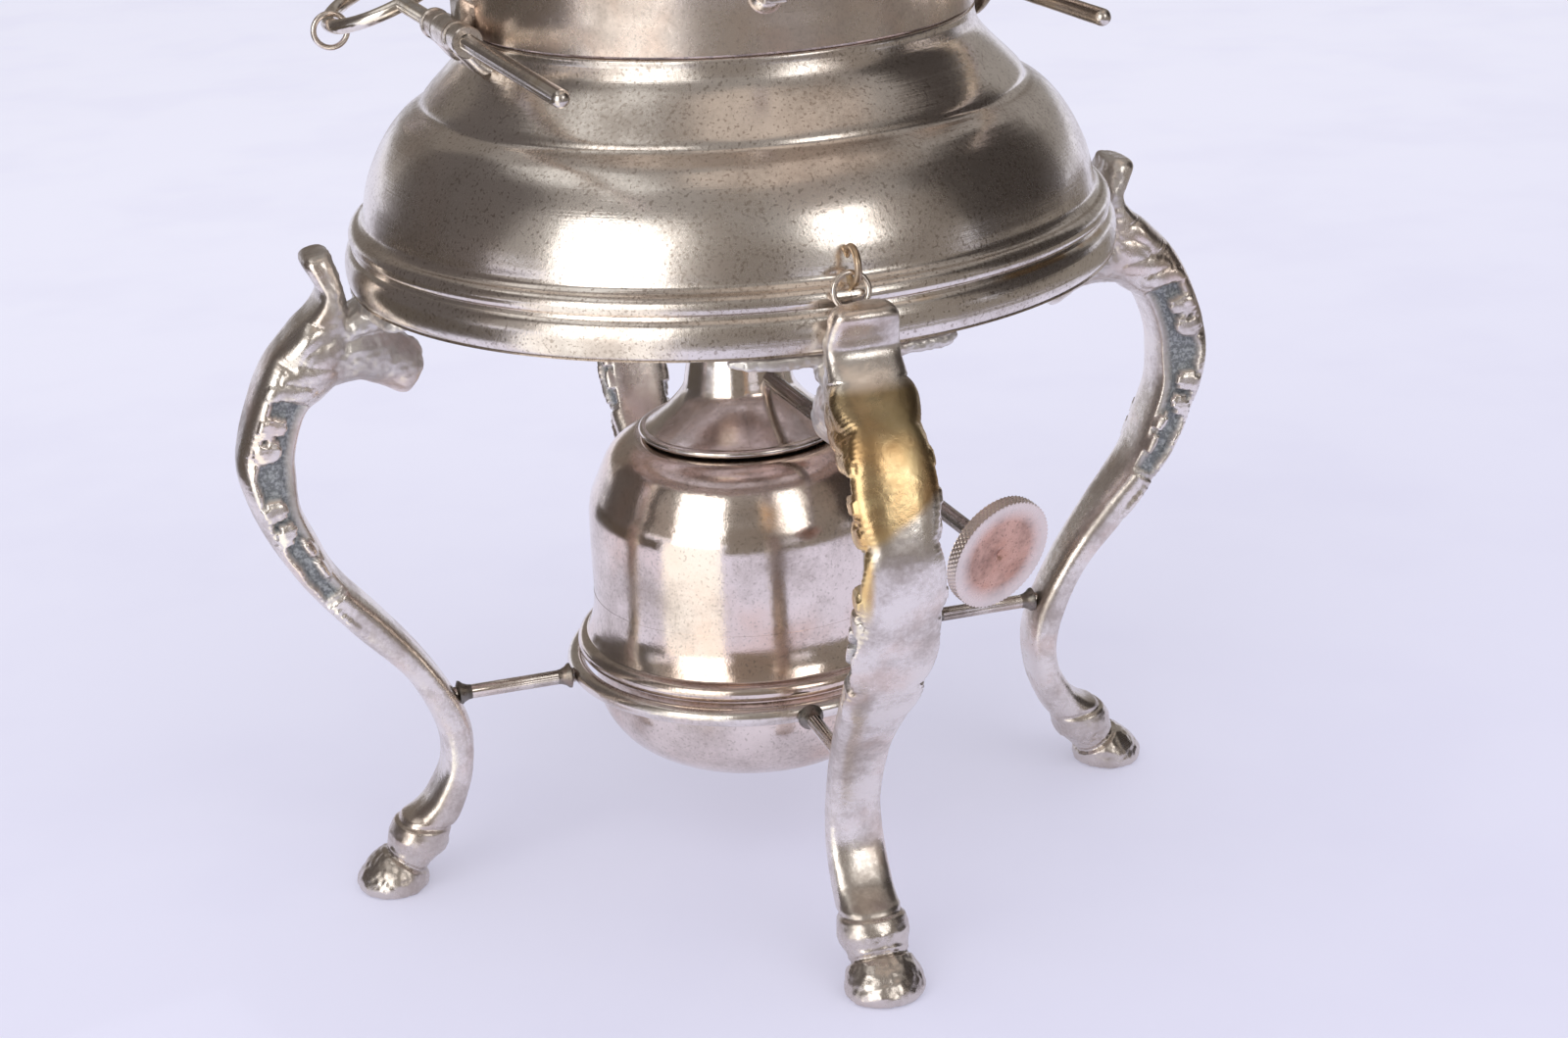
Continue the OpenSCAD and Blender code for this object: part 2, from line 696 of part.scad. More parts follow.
// One side of the bent rod, from the eye up to the middle of the grip.
module bail_side(s) {
  translate([0, s * pivot_y, pivot_z])
    difference() {
      union() {
        rotate([90, 0, 0]) translate([0, 0, -1.6]) cylinder(d = 9, h = 3.2);
        translate([0, 0, 3]) cylinder(d = bail_d, h = bail_h - bail_r - 3);
      }
      rotate([90, 0, 0]) translate([0, 0, -5]) cylinder(d = 4.3, h = 10);
    }
  translate([0, s * (pivot_y - bail_r), bail_top - bail_r])
    rotate([0, -90, 0])
      rotate([0, 0, s > 0 ? 0 : -90])
        rotate_extrude(angle = 90) translate([bail_r, 0]) circle(d = bail_d);
  translate([0, 0, bail_top])
    rotate([-s * 90, 0, 0])
      cylinder(d = bail_d, h = pivot_y - bail_r);
}

module handle_bail() {
  color(silver) at_kettle() {
    bail_side(1);
    bail_side(-1);
  }
}

grip_l = 2 * (pivot_y - bail_r) - 6;

// Turned grip round the top of the rod.
module handle_grip() {
  h = grip_l / 2;
  color(dark)
    at_kettle()
      translate([0, 0, bail_top])
        rotate([90, 0, 0])
          rotate_extrude()
            polygon(concat([[bail_d / 2 + 0.02, -h], [grip_d / 2 - 1.8, -h]],
              curve([[grip_d / 2 - 1.2, -h + 1], [grip_d / 2 - 1, -h + 4], [grip_d / 2, 0],
                [grip_d / 2 - 1, h - 4], [grip_d / 2 - 1.2, h - 1]], 4),
              [[grip_d / 2 - 1.8, h], [bail_d / 2 + 0.02, h]]));
}

// Turned caps at the two ends of the grip.
module grip_ferrules() {
  color(gold)
    at_kettle()
      for (s = [-1, 1])
        translate([0, s * (grip_l / 2 + 0.1), bail_top])
          rotate([-s * 90, 0, 0])
            rotate_extrude()
              polygon([[bail_d / 2 + 0.02, 0], [bail_d / 2 + 2.2, 0], [bail_d / 2 + 2.4, 0.8],
                [bail_d / 2 + 1.4, 1.8], [bail_d / 2 + 0.9, 2.8], [bail_d / 2 + 0.02, 2.8]]);
}

// Upper flask: straight wall, rounded shoulder and the hole for the neck.
module flask_body() {
  line = concat([[flask_r, bead_z + 4.2]],
    curve([[flask_r, cap_z - 19], [flask_r - 0.4, cap_z - 13.5], [flask_r - 2, cap_z - 9.3],
      [flask_r - 4.9, cap_z - 3.7], [flask_r - 8.9, cap_z - 0.9], [flask_r - 14, cap_z - 0.4]], 4),
    [[12.2, cap_z - 0.3]]);
  color(copper) shell(line, 0.9);
}

// Lower bowl that hangs through the ring.
module flask_bowl() {
  line = concat([[0, flask_z], [flask_r - 21.8, flask_z]],
    curve([[flask_r - 15, flask_z + 0.6], [flask_r - 9, flask_z + 2.4], [flask_r - 4, flask_z + 5.9],
      [flask_r - 0.8, flask_z + 10.4], [flask_r + 0.4, flask_z + 14.4], [flask_r + 0.6, bead_z - 4],
      [flask_r + 0.4, bead_z - 0.1]], 4));
  color(copper) rotate_extrude() polygon(concat(line,
      [for (p = reversed(inset(line, 0.9))) [max(p[0], 0), p[1]]]));
}

// Flared bead round the seam, which rests on the ring.
module flask_bead() {
  color(copper)
    rotate_extrude()
      polygon(concat([[flask_r - 0.5, bead_z], [flask_r + 3, bead_z]],
        arc([flask_r + 2, bead_z + 2], 2, -60, 80, 7),
        curve([[flask_r + 1.9, bead_z + 4.2], [flask_r + 1.1, bead_z + 6], [flask_r + 0.5, bead_z + 8.2],
          [flask_r + 0.15, bead_z + 10.5]], 4),
        [[flask_r, bead_z + 10.5], [flask_r, bead_z + 4.1], [flask_r - 0.5, bead_z + 4.1]]));
}

// Neck of the flask inside the cap.
module flask_neck() {
  color(gold)
    rotate_extrude()
      polygon([[12.1, cap_z - 3], [12.1, cap_z + 2.6], [11, cap_z + 2.6], [11, cap_z - 3]]);
}

// Cone cap with a rolled flange, and holes for the wick tube and the winder's rod.
module cap_cone() {
  line = concat(arc([cap_d / 2 - 0.75, cap_z + 0.75], 0.75, -90, 90, 6),
    curve([[cap_d / 2 - 1.6, cap_z + 1.6], [14.1, cap_z + 5.6], [11.3, cap_z + 8.8], [10.6, cap_z + 12],
      [10, cap_z + 15.4], [9.2, cap_z + 18], [8.2, cap_top - 0.1]], 4),
    [[7.6, cap_top], [0, cap_top]]);
  color(copper)
    difference() {
      rotate_extrude()
        polygon(concat(line, [[0, cap_top - 0.9], [7.4, cap_top - 0.9], [9, cap_z + 15], [9.7, cap_z + 12],
          [10.3, cap_z + 9], [13.1, cap_z + 6], [17, cap_z + 2.6], [18.4, cap_z]]));
      tube_hole();
      at_winder() rotate([0, 90, 0]) cylinder(d = rod_d + 2 * fit, h = 20);
    }
}

// Hole that the wick tube fits.
module tube_hole() {
  rotate([0, 0, rod_turn])
    translate([-wick_w / 2 - 1.1, wick_y - wick_t / 2 - 1.1, cap_z + 12])
      cube([wick_w + 2.2, wick_t + 2.2, 20]);
}

// Flat tube for the wick, with a slot for the spiked wheel.
module wick_tube() {
  color(gold)
    difference() {
      rotate([0, 0, rod_turn])
        difference() {
          translate([-wick_w / 2 - 1.1, wick_y - wick_t / 2 - 1.1, cap_z + 2])
            cube([wick_w + 2.2, wick_t + 2.2, 20]);
          translate([-wick_w / 2 - 0.3, wick_y - wick_t / 2 - 0.3, cap_z])
            cube([wick_w + 0.6, wick_t + 0.6, 24]);
        }
      at_winder()
        translate([-1.4, 0, 0]) rotate([0, 90, 0]) cylinder(d = 2 * wheel_r + 1, h = 3.4);
      at_winder() rotate([0, 90, 0]) cylinder(d = rod_d + 0.6, h = 20);
    }
}

// Flat cotton wick.
module wick() {
  color(cotton)
    rotate([0, 0, rod_turn])
      translate([-wick_w / 2, wick_y - wick_t / 2, flask_z + 12])
        cube([wick_w, wick_t, cap_top + 5 - flask_z - 12]);
}

// Straight rod with a thin end that carries the spiked wheel.
module winder_shaft() {
  color(silver)
    at_winder()
      rotate([0, 90, 0]) {
        cylinder(d = rod_d, h = rod_l - knob_t + 0.4);
        translate([0, 0, -2]) cylinder(d = wheel_bore, h = 4);
      }
}

// Disc knob with a notched edge, a dished face and a centre dimple.
module winder_knob() {
  color(copper)
    at_winder()
      translate([rod_l - knob_t, 0, 0])
        rotate([0, 90, 0])
          difference() {
            cylinder(d = knob_d, h = knob_t);
            translate([0, 0, knob_t - 0.5]) cylinder(d1 = knob_d - 8, d2 = knob_d - 4, h = 0.6);
            translate([0, 0, knob_t - 0.9]) cylinder(d = 2.4, h = 2);
            translate([0, 0, -1]) cylinder(d = rod_d, h = 1.4);
            for (i = [0:knob_notches - 1])
              rotate([0, 0, 360 * i / knob_notches])
                translate([knob_d / 2 + 0.2, 0, -1])
                  cylinder(d = 1, h = knob_t + 2);
          }
}

// Spiked wheel that pushes the wick up and down.
module wick_wheel() {
  color(gold)
    at_winder()
      translate([-1.1, 0, 0])
        rotate([0, 90, 0])
          difference() {
            linear_extrude(1)
              polygon([for (i = [0:19]) let (r = i % 2 == 0 ? wheel_r : wheel_r - 0.7)
                r * [cos(18 * i), sin(18 * i)]]);
            translate([0, 0, -1]) cylinder(d = wheel_bore + 0.04, h = 3);
          }
}

stand_hood();
leg_front();
leg_right();
leg_back();
leg_left();
burner_ring();
ring_spokes();
left_stand_knuckles();
right_stand_knuckles();
chain_staple();
staple_link();
kettle_body();
kettle_base();
kettle_left_hook();
kettle_right_knuckle();
spout();
handle_ear_front();
handle_ear_back();
lid_hinge_leaf();
lid_hinge_pin();
lid_cover();
lid_bezel();
lid_leaf();
lid_finial();
finial_nut();
handle_bail();
handle_grip();
grip_ferrules();
left_pin();
right_pin();
pin_link();
flask_body();
flask_bowl();
flask_bead();
flask_neck();
cap_cone();
wick_tube();
winder_shaft();
winder_knob();
wick_wheel();
wick();
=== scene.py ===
"""Spirit kettle on stand: the looks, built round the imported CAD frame. Metres, +Z up, front leg on -Y."""

import json
from math import cos, hypot, pi, radians, sin, sqrt

import bpy
from bpy.props import FloatProperty, FloatVectorProperty, PointerProperty
from mathutils import Matrix, Vector, noise


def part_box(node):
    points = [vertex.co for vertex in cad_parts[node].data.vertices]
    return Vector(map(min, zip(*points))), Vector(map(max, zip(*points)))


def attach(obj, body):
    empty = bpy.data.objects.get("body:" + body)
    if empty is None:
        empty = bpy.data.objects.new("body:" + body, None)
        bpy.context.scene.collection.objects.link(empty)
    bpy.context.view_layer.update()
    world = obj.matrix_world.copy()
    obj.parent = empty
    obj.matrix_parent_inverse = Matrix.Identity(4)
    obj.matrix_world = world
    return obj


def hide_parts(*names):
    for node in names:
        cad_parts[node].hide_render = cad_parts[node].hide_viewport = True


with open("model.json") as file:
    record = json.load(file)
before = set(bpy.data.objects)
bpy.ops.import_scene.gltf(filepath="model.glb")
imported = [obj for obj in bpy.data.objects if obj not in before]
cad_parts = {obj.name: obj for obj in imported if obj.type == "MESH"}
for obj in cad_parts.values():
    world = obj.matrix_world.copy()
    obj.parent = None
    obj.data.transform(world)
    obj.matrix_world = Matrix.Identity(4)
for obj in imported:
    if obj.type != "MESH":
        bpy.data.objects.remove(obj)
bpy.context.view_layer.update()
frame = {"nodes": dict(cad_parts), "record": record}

bl_info = {
    "name": "Spirit kettle on stand",
    "version": (1, 0, 0),
    "blender": (4, 5, 0),
    "location": "3D Viewport > Sidebar > Kettle",
    "description": "Builds the looks of a tilting spirit kettle round its CAD frame",
    "category": "Object",
}

MM = 0.001
hood_low, hood_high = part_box("stand_hood")
kettle_low, kettle_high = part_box("kettle_body")
flask_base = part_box("flask_bowl")[0]


def linear(code):
    """An sRGB hex colour as linear RGBA."""
    parts = [int(code[i : i + 2], 16) / 255 for i in (1, 3, 5)]
    return [c / 12.92 if c <= 0.04045 else ((c + 0.055) / 1.055) ** 2.4 for c in parts] + [1.0]


class HoodSizes(bpy.types.PropertyGroup):
    radius: FloatProperty(
        name="Rim radius", description="Radius of the hood's rim", default=hood_high.x, unit="LENGTH"
    )
    rim: FloatProperty(
        name="Rim height", description="Height of the rim's lower edge", default=hood_low.z, unit="LENGTH"
    )
    lip: FloatProperty(
        name="Lip height", description="Height of the rolled lip", default=hood_high.z, unit="LENGTH"
    )


class LegSizes(bpy.types.PropertyGroup):
    reach: FloatProperty(
        name="Reach", description="Distance from the axis to the knee", default=0.0999, unit="LENGTH"
    )
    width: FloatProperty(
        name="Width", description="Width of a leg at its knee", default=0.0138, unit="LENGTH"
    )
    relief: FloatProperty(
        name="Relief", description="Depth of the relief on a leg's sides", default=0.0017, unit="LENGTH"
    )
    grain: FloatProperty(
        name="Cast grain", description="Height of the unevenness left by casting", unit="LENGTH",
        default=0.00022,
    )


class Finish(bpy.types.PropertyGroup):
    silver: FloatVectorProperty(
        name="Silver", description="Plate where it is clean", subtype="COLOR", size=4,
        default=linear("#F3ECE5"),
    )
    tarnish: FloatVectorProperty(
        name="Tarnish", description="Plate where it is tarnished", subtype="COLOR", size=4,
        default=linear("#B3A79D"),
    )
    copper: FloatVectorProperty(
        name="Copper", description="Copper that shows through", subtype="COLOR", size=4,
        default=linear("#EBC9B4"),
    )
    brass: FloatVectorProperty(
        name="Brass", description="Brass that shows through", subtype="COLOR", size=4,
        default=linear("#C9A066"),
    )
    gilt: FloatVectorProperty(
        name="Bright brass", description="Brass where it is rubbed bright", subtype="COLOR", size=4,
        default=linear("#E8CE98"),
    )
    # Grey painted as shade in the legs' hollows; at a leg's root by the lug it also stands for solder.
    solder: FloatVectorProperty(
        name="Solder", description="Grey solder and dirt in hollows", subtype="COLOR", size=4,
        default=linear("#A9AEAF"),
    )


# Shapes


def curve(points, steps):
    """A smooth line through the points, with that many steps from one to the next."""
    line = []
    last = len(points) - 1
    for i in range(last):
        a, b, c, d = (points[max(0, min(last, k))] for k in (i - 1, i, i + 1, i + 2))
        for j in range(steps):
            t = j / steps
            line.append(tuple(
                0.5 * (2 * q + (r - p) * t + (2 * p - 5 * q + 4 * r - s) * t * t
                       + (3 * q - p - 3 * r + s) * t**3)
                for p, q, r, s in zip(a, b, c, d)
            ))
    return line + [tuple(points[-1])]


def arc(centre, radius, start, end, steps):
    """Points of an arc about centre, from one angle to the other in degrees."""
    angles = [radians(start + (end - start) * i / steps) for i in range(steps + 1)]
    return [(centre[0] + radius * cos(a), centre[1] + radius * sin(a)) for a in angles]


def deselect():
    """Leaves edit mode and deselects everything, because an operator acts on all that is selected."""
    if bpy.context.object and bpy.context.object.mode != "OBJECT":
        bpy.ops.object.mode_set(mode="OBJECT")
    bpy.ops.object.select_all(action="DESELECT")


def tidy_mesh(piece, angle=30):
    """Merges doubles, turns the faces outwards and shades the piece smooth."""
    bpy.ops.object.mode_set(mode="EDIT")
    bpy.ops.mesh.select_all(action="SELECT")
    bpy.ops.mesh.remove_doubles(threshold=1e-6)
    bpy.ops.mesh.normals_make_consistent(inside=False)
    bpy.ops.object.mode_set(mode="OBJECT")
    bpy.ops.object.shade_smooth_by_angle(angle=radians(angle))
    return piece


def wrapped(name, rings, angle=40):
    """A tube over rings of points in mm, with its ends filled: a grid whose two long sides are joined."""
    deselect()
    across, along = len(rings[0]), len(rings)
    bpy.ops.mesh.primitive_grid_add(x_subdivisions=across, y_subdivisions=along - 1, size=1)
    piece = bpy.context.object
    piece.name = piece.data.name = name
    points = []
    for ring in rings:
        points += [Vector(p) * MM for p in list(ring) + [ring[0]]]
    piece.data.vertices.foreach_set("co", [c for p in points for c in p])
    bpy.ops.object.mode_set(mode="EDIT")
    bpy.ops.mesh.select_all(action="SELECT")
    bpy.ops.mesh.remove_doubles(threshold=1e-7)
    bpy.ops.mesh.select_all(action="DESELECT")
    bpy.ops.mesh.select_non_manifold(
        extend=False, use_wire=False, use_multi_face=False, use_non_contiguous=False, use_verts=False
    )
    bpy.ops.mesh.edge_face_add()
    bpy.ops.object.mode_set(mode="OBJECT")
    return tidy_mesh(piece, angle)


def turned(name, line, steps=128, angle=30):
    """A solid of revolution: a point is extruded along the line, in mm, and spun about the Z axis."""
    deselect()
    bpy.ops.mesh.primitive_plane_add(size=MM, location=(line[0][0] * MM, 0, line[0][1] * MM))
    piece = bpy.context.object
    piece.name = piece.data.name = name
    bpy.ops.object.transform_apply()
    bpy.ops.object.mode_set(mode="EDIT")
    bpy.ops.mesh.select_all(action="SELECT")
    bpy.ops.mesh.merge(type="CENTER")
    for (r0, z0), (r1, z1) in zip(line, line[1:]):
        way = ((r1 - r0) * MM, 0, (z1 - z0) * MM)
        bpy.ops.mesh.extrude_region_move(TRANSFORM_OT_translate={"value": way})
    bpy.ops.mesh.select_all(action="SELECT")
    bpy.ops.mesh.spin(steps=steps, angle=2 * pi, center=(0, 0, 0), axis=(0, 0, 1))
    bpy.ops.object.mode_set(mode="OBJECT")
    return tidy_mesh(piece, angle)


def copy_of(piece, name, matrix):
    """A copy with its own mesh, moved by the matrix."""
    new = piece.copy()
    new.data = piece.data.copy()
    new.name = new.data.name = name
    bpy.context.collection.objects.link(new)
    new.data.transform(matrix)
    return new


def joined(pieces, name):
    """The pieces as one."""
    deselect()
    for piece in pieces:
        piece.select_set(True)
    bpy.context.view_layer.objects.active = pieces[0]
    bpy.ops.object.join()
    pieces[0].name = pieces[0].data.name = name
    return pieces[0]


def modified(piece, kind, **settings):
    """Applies one modifier to the piece."""
    deselect()
    piece.select_set(True)
    bpy.context.view_layer.objects.active = piece
    modifier = piece.modifiers.new(kind.title(), kind)
    for key, value in settings.items():
        setattr(modifier, key, value)
    bpy.ops.object.modifier_apply(modifier=modifier.name)
    return piece


def dress(piece, material, body, slot, *nodes):
    """Gives a piece its material and the body it rides on, and hides the CAD nodes that it stands for."""
    piece.data.materials.clear()
    piece.data.materials.append(material)
    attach(piece, body)
    if nodes:
        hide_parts(*nodes)
    return piece


# Materials

# Settings that many nodes share.
SMOOTH = {"interpolation_type": "SMOOTHSTEP"}
COLOUR = {"data_type": "RGBA"}
TIMES = {"operation": "MULTIPLY"}
PLUS = {"operation": "ADD"}

# Sizes of the patterns, in metres. Real pits in old plate are finer, and are drawn coarser so that they show.
PIT = 0.0009
SPECK = 0.0006
SPINNING_MARK = 0.0011
# How broken the edges of clouds of tarnish are.
CLOUDY = 0.6


def feed(target, key, value):
    """Sets an input of a node. A node given as the value is linked by its first output in use."""
    if isinstance(value, bpy.types.Node):
        value = next(output for output in value.outputs if output.enabled)
    if isinstance(value, bpy.types.NodeSocket):
        target.id_data.links.new(value, target.inputs[key])
    else:
        target.inputs[key].default_value = value


def node(tree, kind, *values, **settings):
    """Adds a node. The values go to its inputs in turn, and settings are its properties or inputs by name."""
    new = tree.nodes.new("ShaderNode" + kind)
    named = {}
    for key, value in settings.items():
        if hasattr(new, key):
            setattr(new, key, value)
        else:
            named[key] = value
    places = [index for index, socket in enumerate(new.inputs) if socket.enabled]
    for key, value in [*zip(places, values), *named.items()]:
        feed(new, key, value)
    return new


def start(name):
    """A new material with its shader, the Object coordinates and their three parts."""
    material = bpy.data.materials.new(name)
    material.use_nodes = True
    tree = material.node_tree
    place = node(tree, "TexCoord").outputs["Object"]
    parts = node(tree, "SeparateXYZ", place).outputs
    return material, tree, tree.nodes["Principled BSDF"], place, parts


def plate(name, clean, dull, stain, stain_amount=0.4, rough=0.2, patch=0.018, lines=0.0, specks=0.35,
          bands=()):
    """Silver plate on brass or copper, spun or drawn: soft reflections, with tarnish in faint clouds, fine
    dark specks and pits, and the base metal showing warm where the plate has worn. patch is the size of the
    clouds in metres, lines is how strongly the marks of spinning show, and bands are (low, high, colour,
    amount) where the base metal shows in a ring."""
    material, tree, shader, place, parts = start(name)
    cloud = node(tree, "TexNoise", place, 1 / patch, 4, CLOUDY)
    fine = node(tree, "TexNoise", place, 1 / PIT, 3, 0.75)
    spread = node(tree, "Math", cloud, node(tree, "Math", fine, 0.3, **TIMES), **PLUS)
    tarnish = node(tree, "MapRange", spread, 0.5, 0.9, **SMOOTH)
    colour = node(tree, "Mix", node(tree, "Math", tarnish, 0.75, **TIMES), clean, dull, **COLOUR)
    worn = node(tree, "TexNoise", place, 1 / (patch * 1.6), 3, CLOUDY)
    warm = node(tree, "Math", node(tree, "MapRange", worn, 0.46, 0.74, **SMOOTH), stain_amount, **TIMES)
    colour = node(tree, "Mix", warm, colour, stain, **COLOUR)
    dots = node(tree, "TexNoise", place, 1 / SPECK, 1, 0.5)
    dots = node(tree, "Math", dots, node(tree, "Math", cloud, 0.25, **TIMES), **PLUS)
    dots = node(tree, "Math", node(tree, "MapRange", dots, 0.72, 0.8, **SMOOTH), specks, **TIMES)
    colour = node(tree, "Mix", dots, colour, dull, **COLOUR)
    soft = 0.0002
    for low, high, tint, amount in bands:
        above = node(tree, "MapRange", parts[2], low - soft, low + soft, **SMOOTH)
        below = node(tree, "MapRange", parts[2], high + soft, high - soft, **SMOOTH)
        inside = node(tree, "Math", above, below, **TIMES)
        patchy = node(tree, "MapRange", node(tree, "TexNoise", place, 50, 3, CLOUDY), 0.45, 0.6, **SMOOTH)
        right = node(tree, "MapRange", parts[0], 0, 0.03, **SMOOTH)
        shown = node(tree, "Math", inside, node(tree, "Math", patchy, right, **TIMES), **TIMES)
        colour = node(tree, "Mix", node(tree, "Math", shown, amount, **TIMES), colour, tint, **COLOUR)
    roughness = node(tree, "Math", node(tree, "Math", tarnish, 0.14, **TIMES), rough, **PLUS)
    roughness = node(tree, "Math", roughness, node(tree, "Math", fine, 0.06, **TIMES), **PLUS)
    swells = node(tree, "Math", cloud, 1.2, **TIMES)
    height = node(tree, "Math", node(tree, "Math", fine, 0.5, **TIMES), swells, **PLUS)
    if lines:
        rings = node(tree, "CombineXYZ", Z=parts[2])
        scratch = node(tree, "TexNoise", rings, 1 / SPINNING_MARK, 3, 0.8)
        left = node(tree, "TexNoise", place, 1 / 0.03, 2, CLOUDY)
        left = node(tree, "MapRange", left, 0.4, 0.62, **SMOOTH)
        marks = node(tree, "Math", node(tree, "Math", scratch, left, **TIMES), lines, **TIMES)
        height = node(tree, "Math", height, marks, **PLUS)
    feed(shader, "Base Color", colour)
    feed(shader, "Roughness", roughness)
    feed(shader, "Metallic", 1.0)
    feed(shader, "Normal", node(tree, "Bump", Strength=0.2, Distance=0.0002, Height=height))
    return material


def finish():
    """The colours that the panel shows."""
    return bpy.context.scene.kettle_finish


# Operators


class KETTLE_OT_hood(bpy.types.Operator):
    """Spins the hood with its rim, moulding, shoulder, cone and rolled lip"""

    bl_idname = "kettle.hood"
    bl_label = "Hood"

    def execute(self, context):
        sizes = context.scene.kettle_hood
        rim, low, top = sizes.radius / MM, sizes.rim / MM, sizes.lip / MM
        neck = 48.4  # radius below the lip, in mm
        outer = (
            curve([(rim - 0.9, low + 0.05), (rim - 0.3, low + 0.9), (rim - 0.02, low + 2.6),
                   (rim - 0.1, low + 4.6), (rim - 0.6, low + 6.2), (rim - 1.3, low + 7)], 5)
            + arc((rim - 3.3, low + 9.15), 2.15, -52, 84, 14)
            + curve([(rim - 3.5, low + 11.6), (rim - 4.2, low + 12.5), (rim - 4.6, low + 14.8),
                     (rim - 5.6, low + 18.8), (rim - 7.7, low + 23.5), (rim - 10.1, low + 27.3),
                     (rim - 12.2, low + 29.7), (rim - 13.6, low + 30.9), (rim - 15.2, low + 31.9),
                     (rim - 17, low + 33), (neck + 8.4, top - 12.4), (neck + 3, top - 6.9),
                     (neck + 0.9, top - 4), (neck + 0.2, top - 1.6)], 7)
            + arc((neck - 0.5, top - 0.8), 0.75, -10, 150, 8)
        )
        inner = [(neck - 1.3, top - 1.4), (neck - 1.2, top - 3)] + curve(
            [(neck + 0.4, top - 6.6), (neck + 6, top - 12.2), (rim - 16, low + 30.3),
             (rim - 11.8, low + 26.4), (rim - 9.2, low + 23), (rim - 7.2, low + 18.6),
             (rim - 5.8, low + 13), (rim - 2.2, low + 9)], 4
        ) + [(rim - 1.2, low + 6.4), (rim - 1.2, low + 0.3), (rim - 0.5, low)]
        hood = turned("hood", outer + inner, 160)
        f = finish()
        # Spun and plated sheet: smooth and clouded, with faint rings from the tool, and brass at one edge.
        material = plate(
            "spun silver plate", f.silver, f.tarnish, f.copper, 0.2, 0.15, 0.022, lines=1.6, specks=0.8,
            bands=((low * MM + 0.0066, low * MM + 0.0074, f.brass, 0.7),),
        )
        dress(hood, material, "stand", "silver_plate", "stand_hood")
        return {"FINISHED"}


# Sections down a leg, in mm and degrees: how far inside the knee's reach, height, tilt, thickness and
# extra width.
LEG_LINE = [
    (18.8, 133.4, -8, 4.2, -5.6), (18.7, 132.2, -12, 5.8, -2.2), (20, 128.6, -12, 5.2, -0.8),
    (20.8, 125.4, -2, 4.8, -0.4), (19.9, 121.6, 14, 7.2, 0.2), (18.4, 117.2, 34, 11.4, 1),
    (16.6, 113.9, 43, 13.4, 1.2), (12.4, 109.7, 40, 13, 1), (8.8, 105, 23, 10.8, 0.6),
    (5.9, 97, 12.5, 10.7, 0.4), (5.3, 91, 0, 10.8, 0.4), (6.5, 83.2, -14, 8.9, 1.2),
    (9.9, 75.1, -27, 8, 1.4), (14.2, 67.2, -33, 6.8, 1), (21.8, 57.7, -36, 7, -1),
    (30.3, 46.9, -34, 5.9, -2.8), (36.2, 34.3, -24.5, 6.7, -3.6), (36.5, 25, 0, 6.1, -2.8),
    (33.4, 17.2, 35, 7.1, -2.4), (30.5, 13.8, 36, 8.2, -2), (28.1, 11.4, 30, 11.2, -0.6),
    (26.3, 8.6, 30, 10.6, -1), (24.7, 6.2, 28, 9.8, -2), (22.7, 3.6, 20, 12.6, 0.6),
    (21.3, 1.2, 6, 14.4, 1.6), (21.4, 0, 0, 13.4, 0.8),
]
# Lobes of the relief: place down the leg, place across it, half length, half width, slant, rise.
# Each is a finger from the smooth outer band towards the inner edge, like a leaf of an acanthus.
LOBES = [
    (115.2, -1.2, 4.2, 1.9, 40, 0.9), (111.6, -0.6, 4.6, 1.5, 30, 1.0), (108.2, 0.2, 4.6, 1.5, 20, 1.1),
    (101.8, 0.6, 2.9, 2.1, 14, 1.3), (97, 0.5, 2.9, 2.2, 30, 1.1),
    (85.6, 0.4, 2.7, 2.2, 8, 1.3), (80.8, 0.1, 2.7, 1.8, 34, 1.0),
    (76.2, -2.2, 1.1, 2.2, 6, 0.8), (71.6, -2.1, 1.0, 2.4, 2, 0.8),
]
# Heights of the sharp notches along the edges of a leg's outer face.
NOTCHES = (119.5, 111, 95, 80.8, 66, 57)


def step(v, a, b):
    """0 to 1 as v goes from a to b, smoothly."""
    t = max(0.0, min(1.0, (v - a) / (b - a)))
    return t * t * (3 - 2 * t)


def rounded(v, power):
    """A sine or cosine drawn out towards the corners of a rounded square."""
    return abs(v) ** power * (1 if v > 0 else -1)


def relief_at(u, t, half, depth):
    """Height in mm of the relief on a leg's side, and how far the spot lies in a hollow, from 0 to 1.
    u is the place down the leg and t the place across it, both in mm."""
    outer, inner = -0.9 * half, 0.36 * half + 0.35 * sin(u * 1.25)
    inside = step(u, 65.6, 67) * (1 - step(u, 106.2, 107.4))
    inside *= step(t, outer, outer + 0.6) * (1 - step(t, inner, inner + 0.7))
    rise = cover = 0.0
    for lobe_u, lobe_t, length, width, slant, high in LOBES:
        du, dt, lean = u - lobe_u, t - lobe_t, radians(slant)
        a = (dt * cos(lean) - du * sin(lean)) / length
        b = (du * cos(lean) + dt * sin(lean)) / width
        spread = abs(a) ** 2.6 + abs(b) ** 2.2
        if spread < 1:
            here = sqrt(1 - spread)
            rise = max(rise, high * here)
            cover = max(cover, min(1.0, here * 1.7))
    hollow = inside * (1 - cover)
    return rise * 0.55 - depth * hollow, hollow


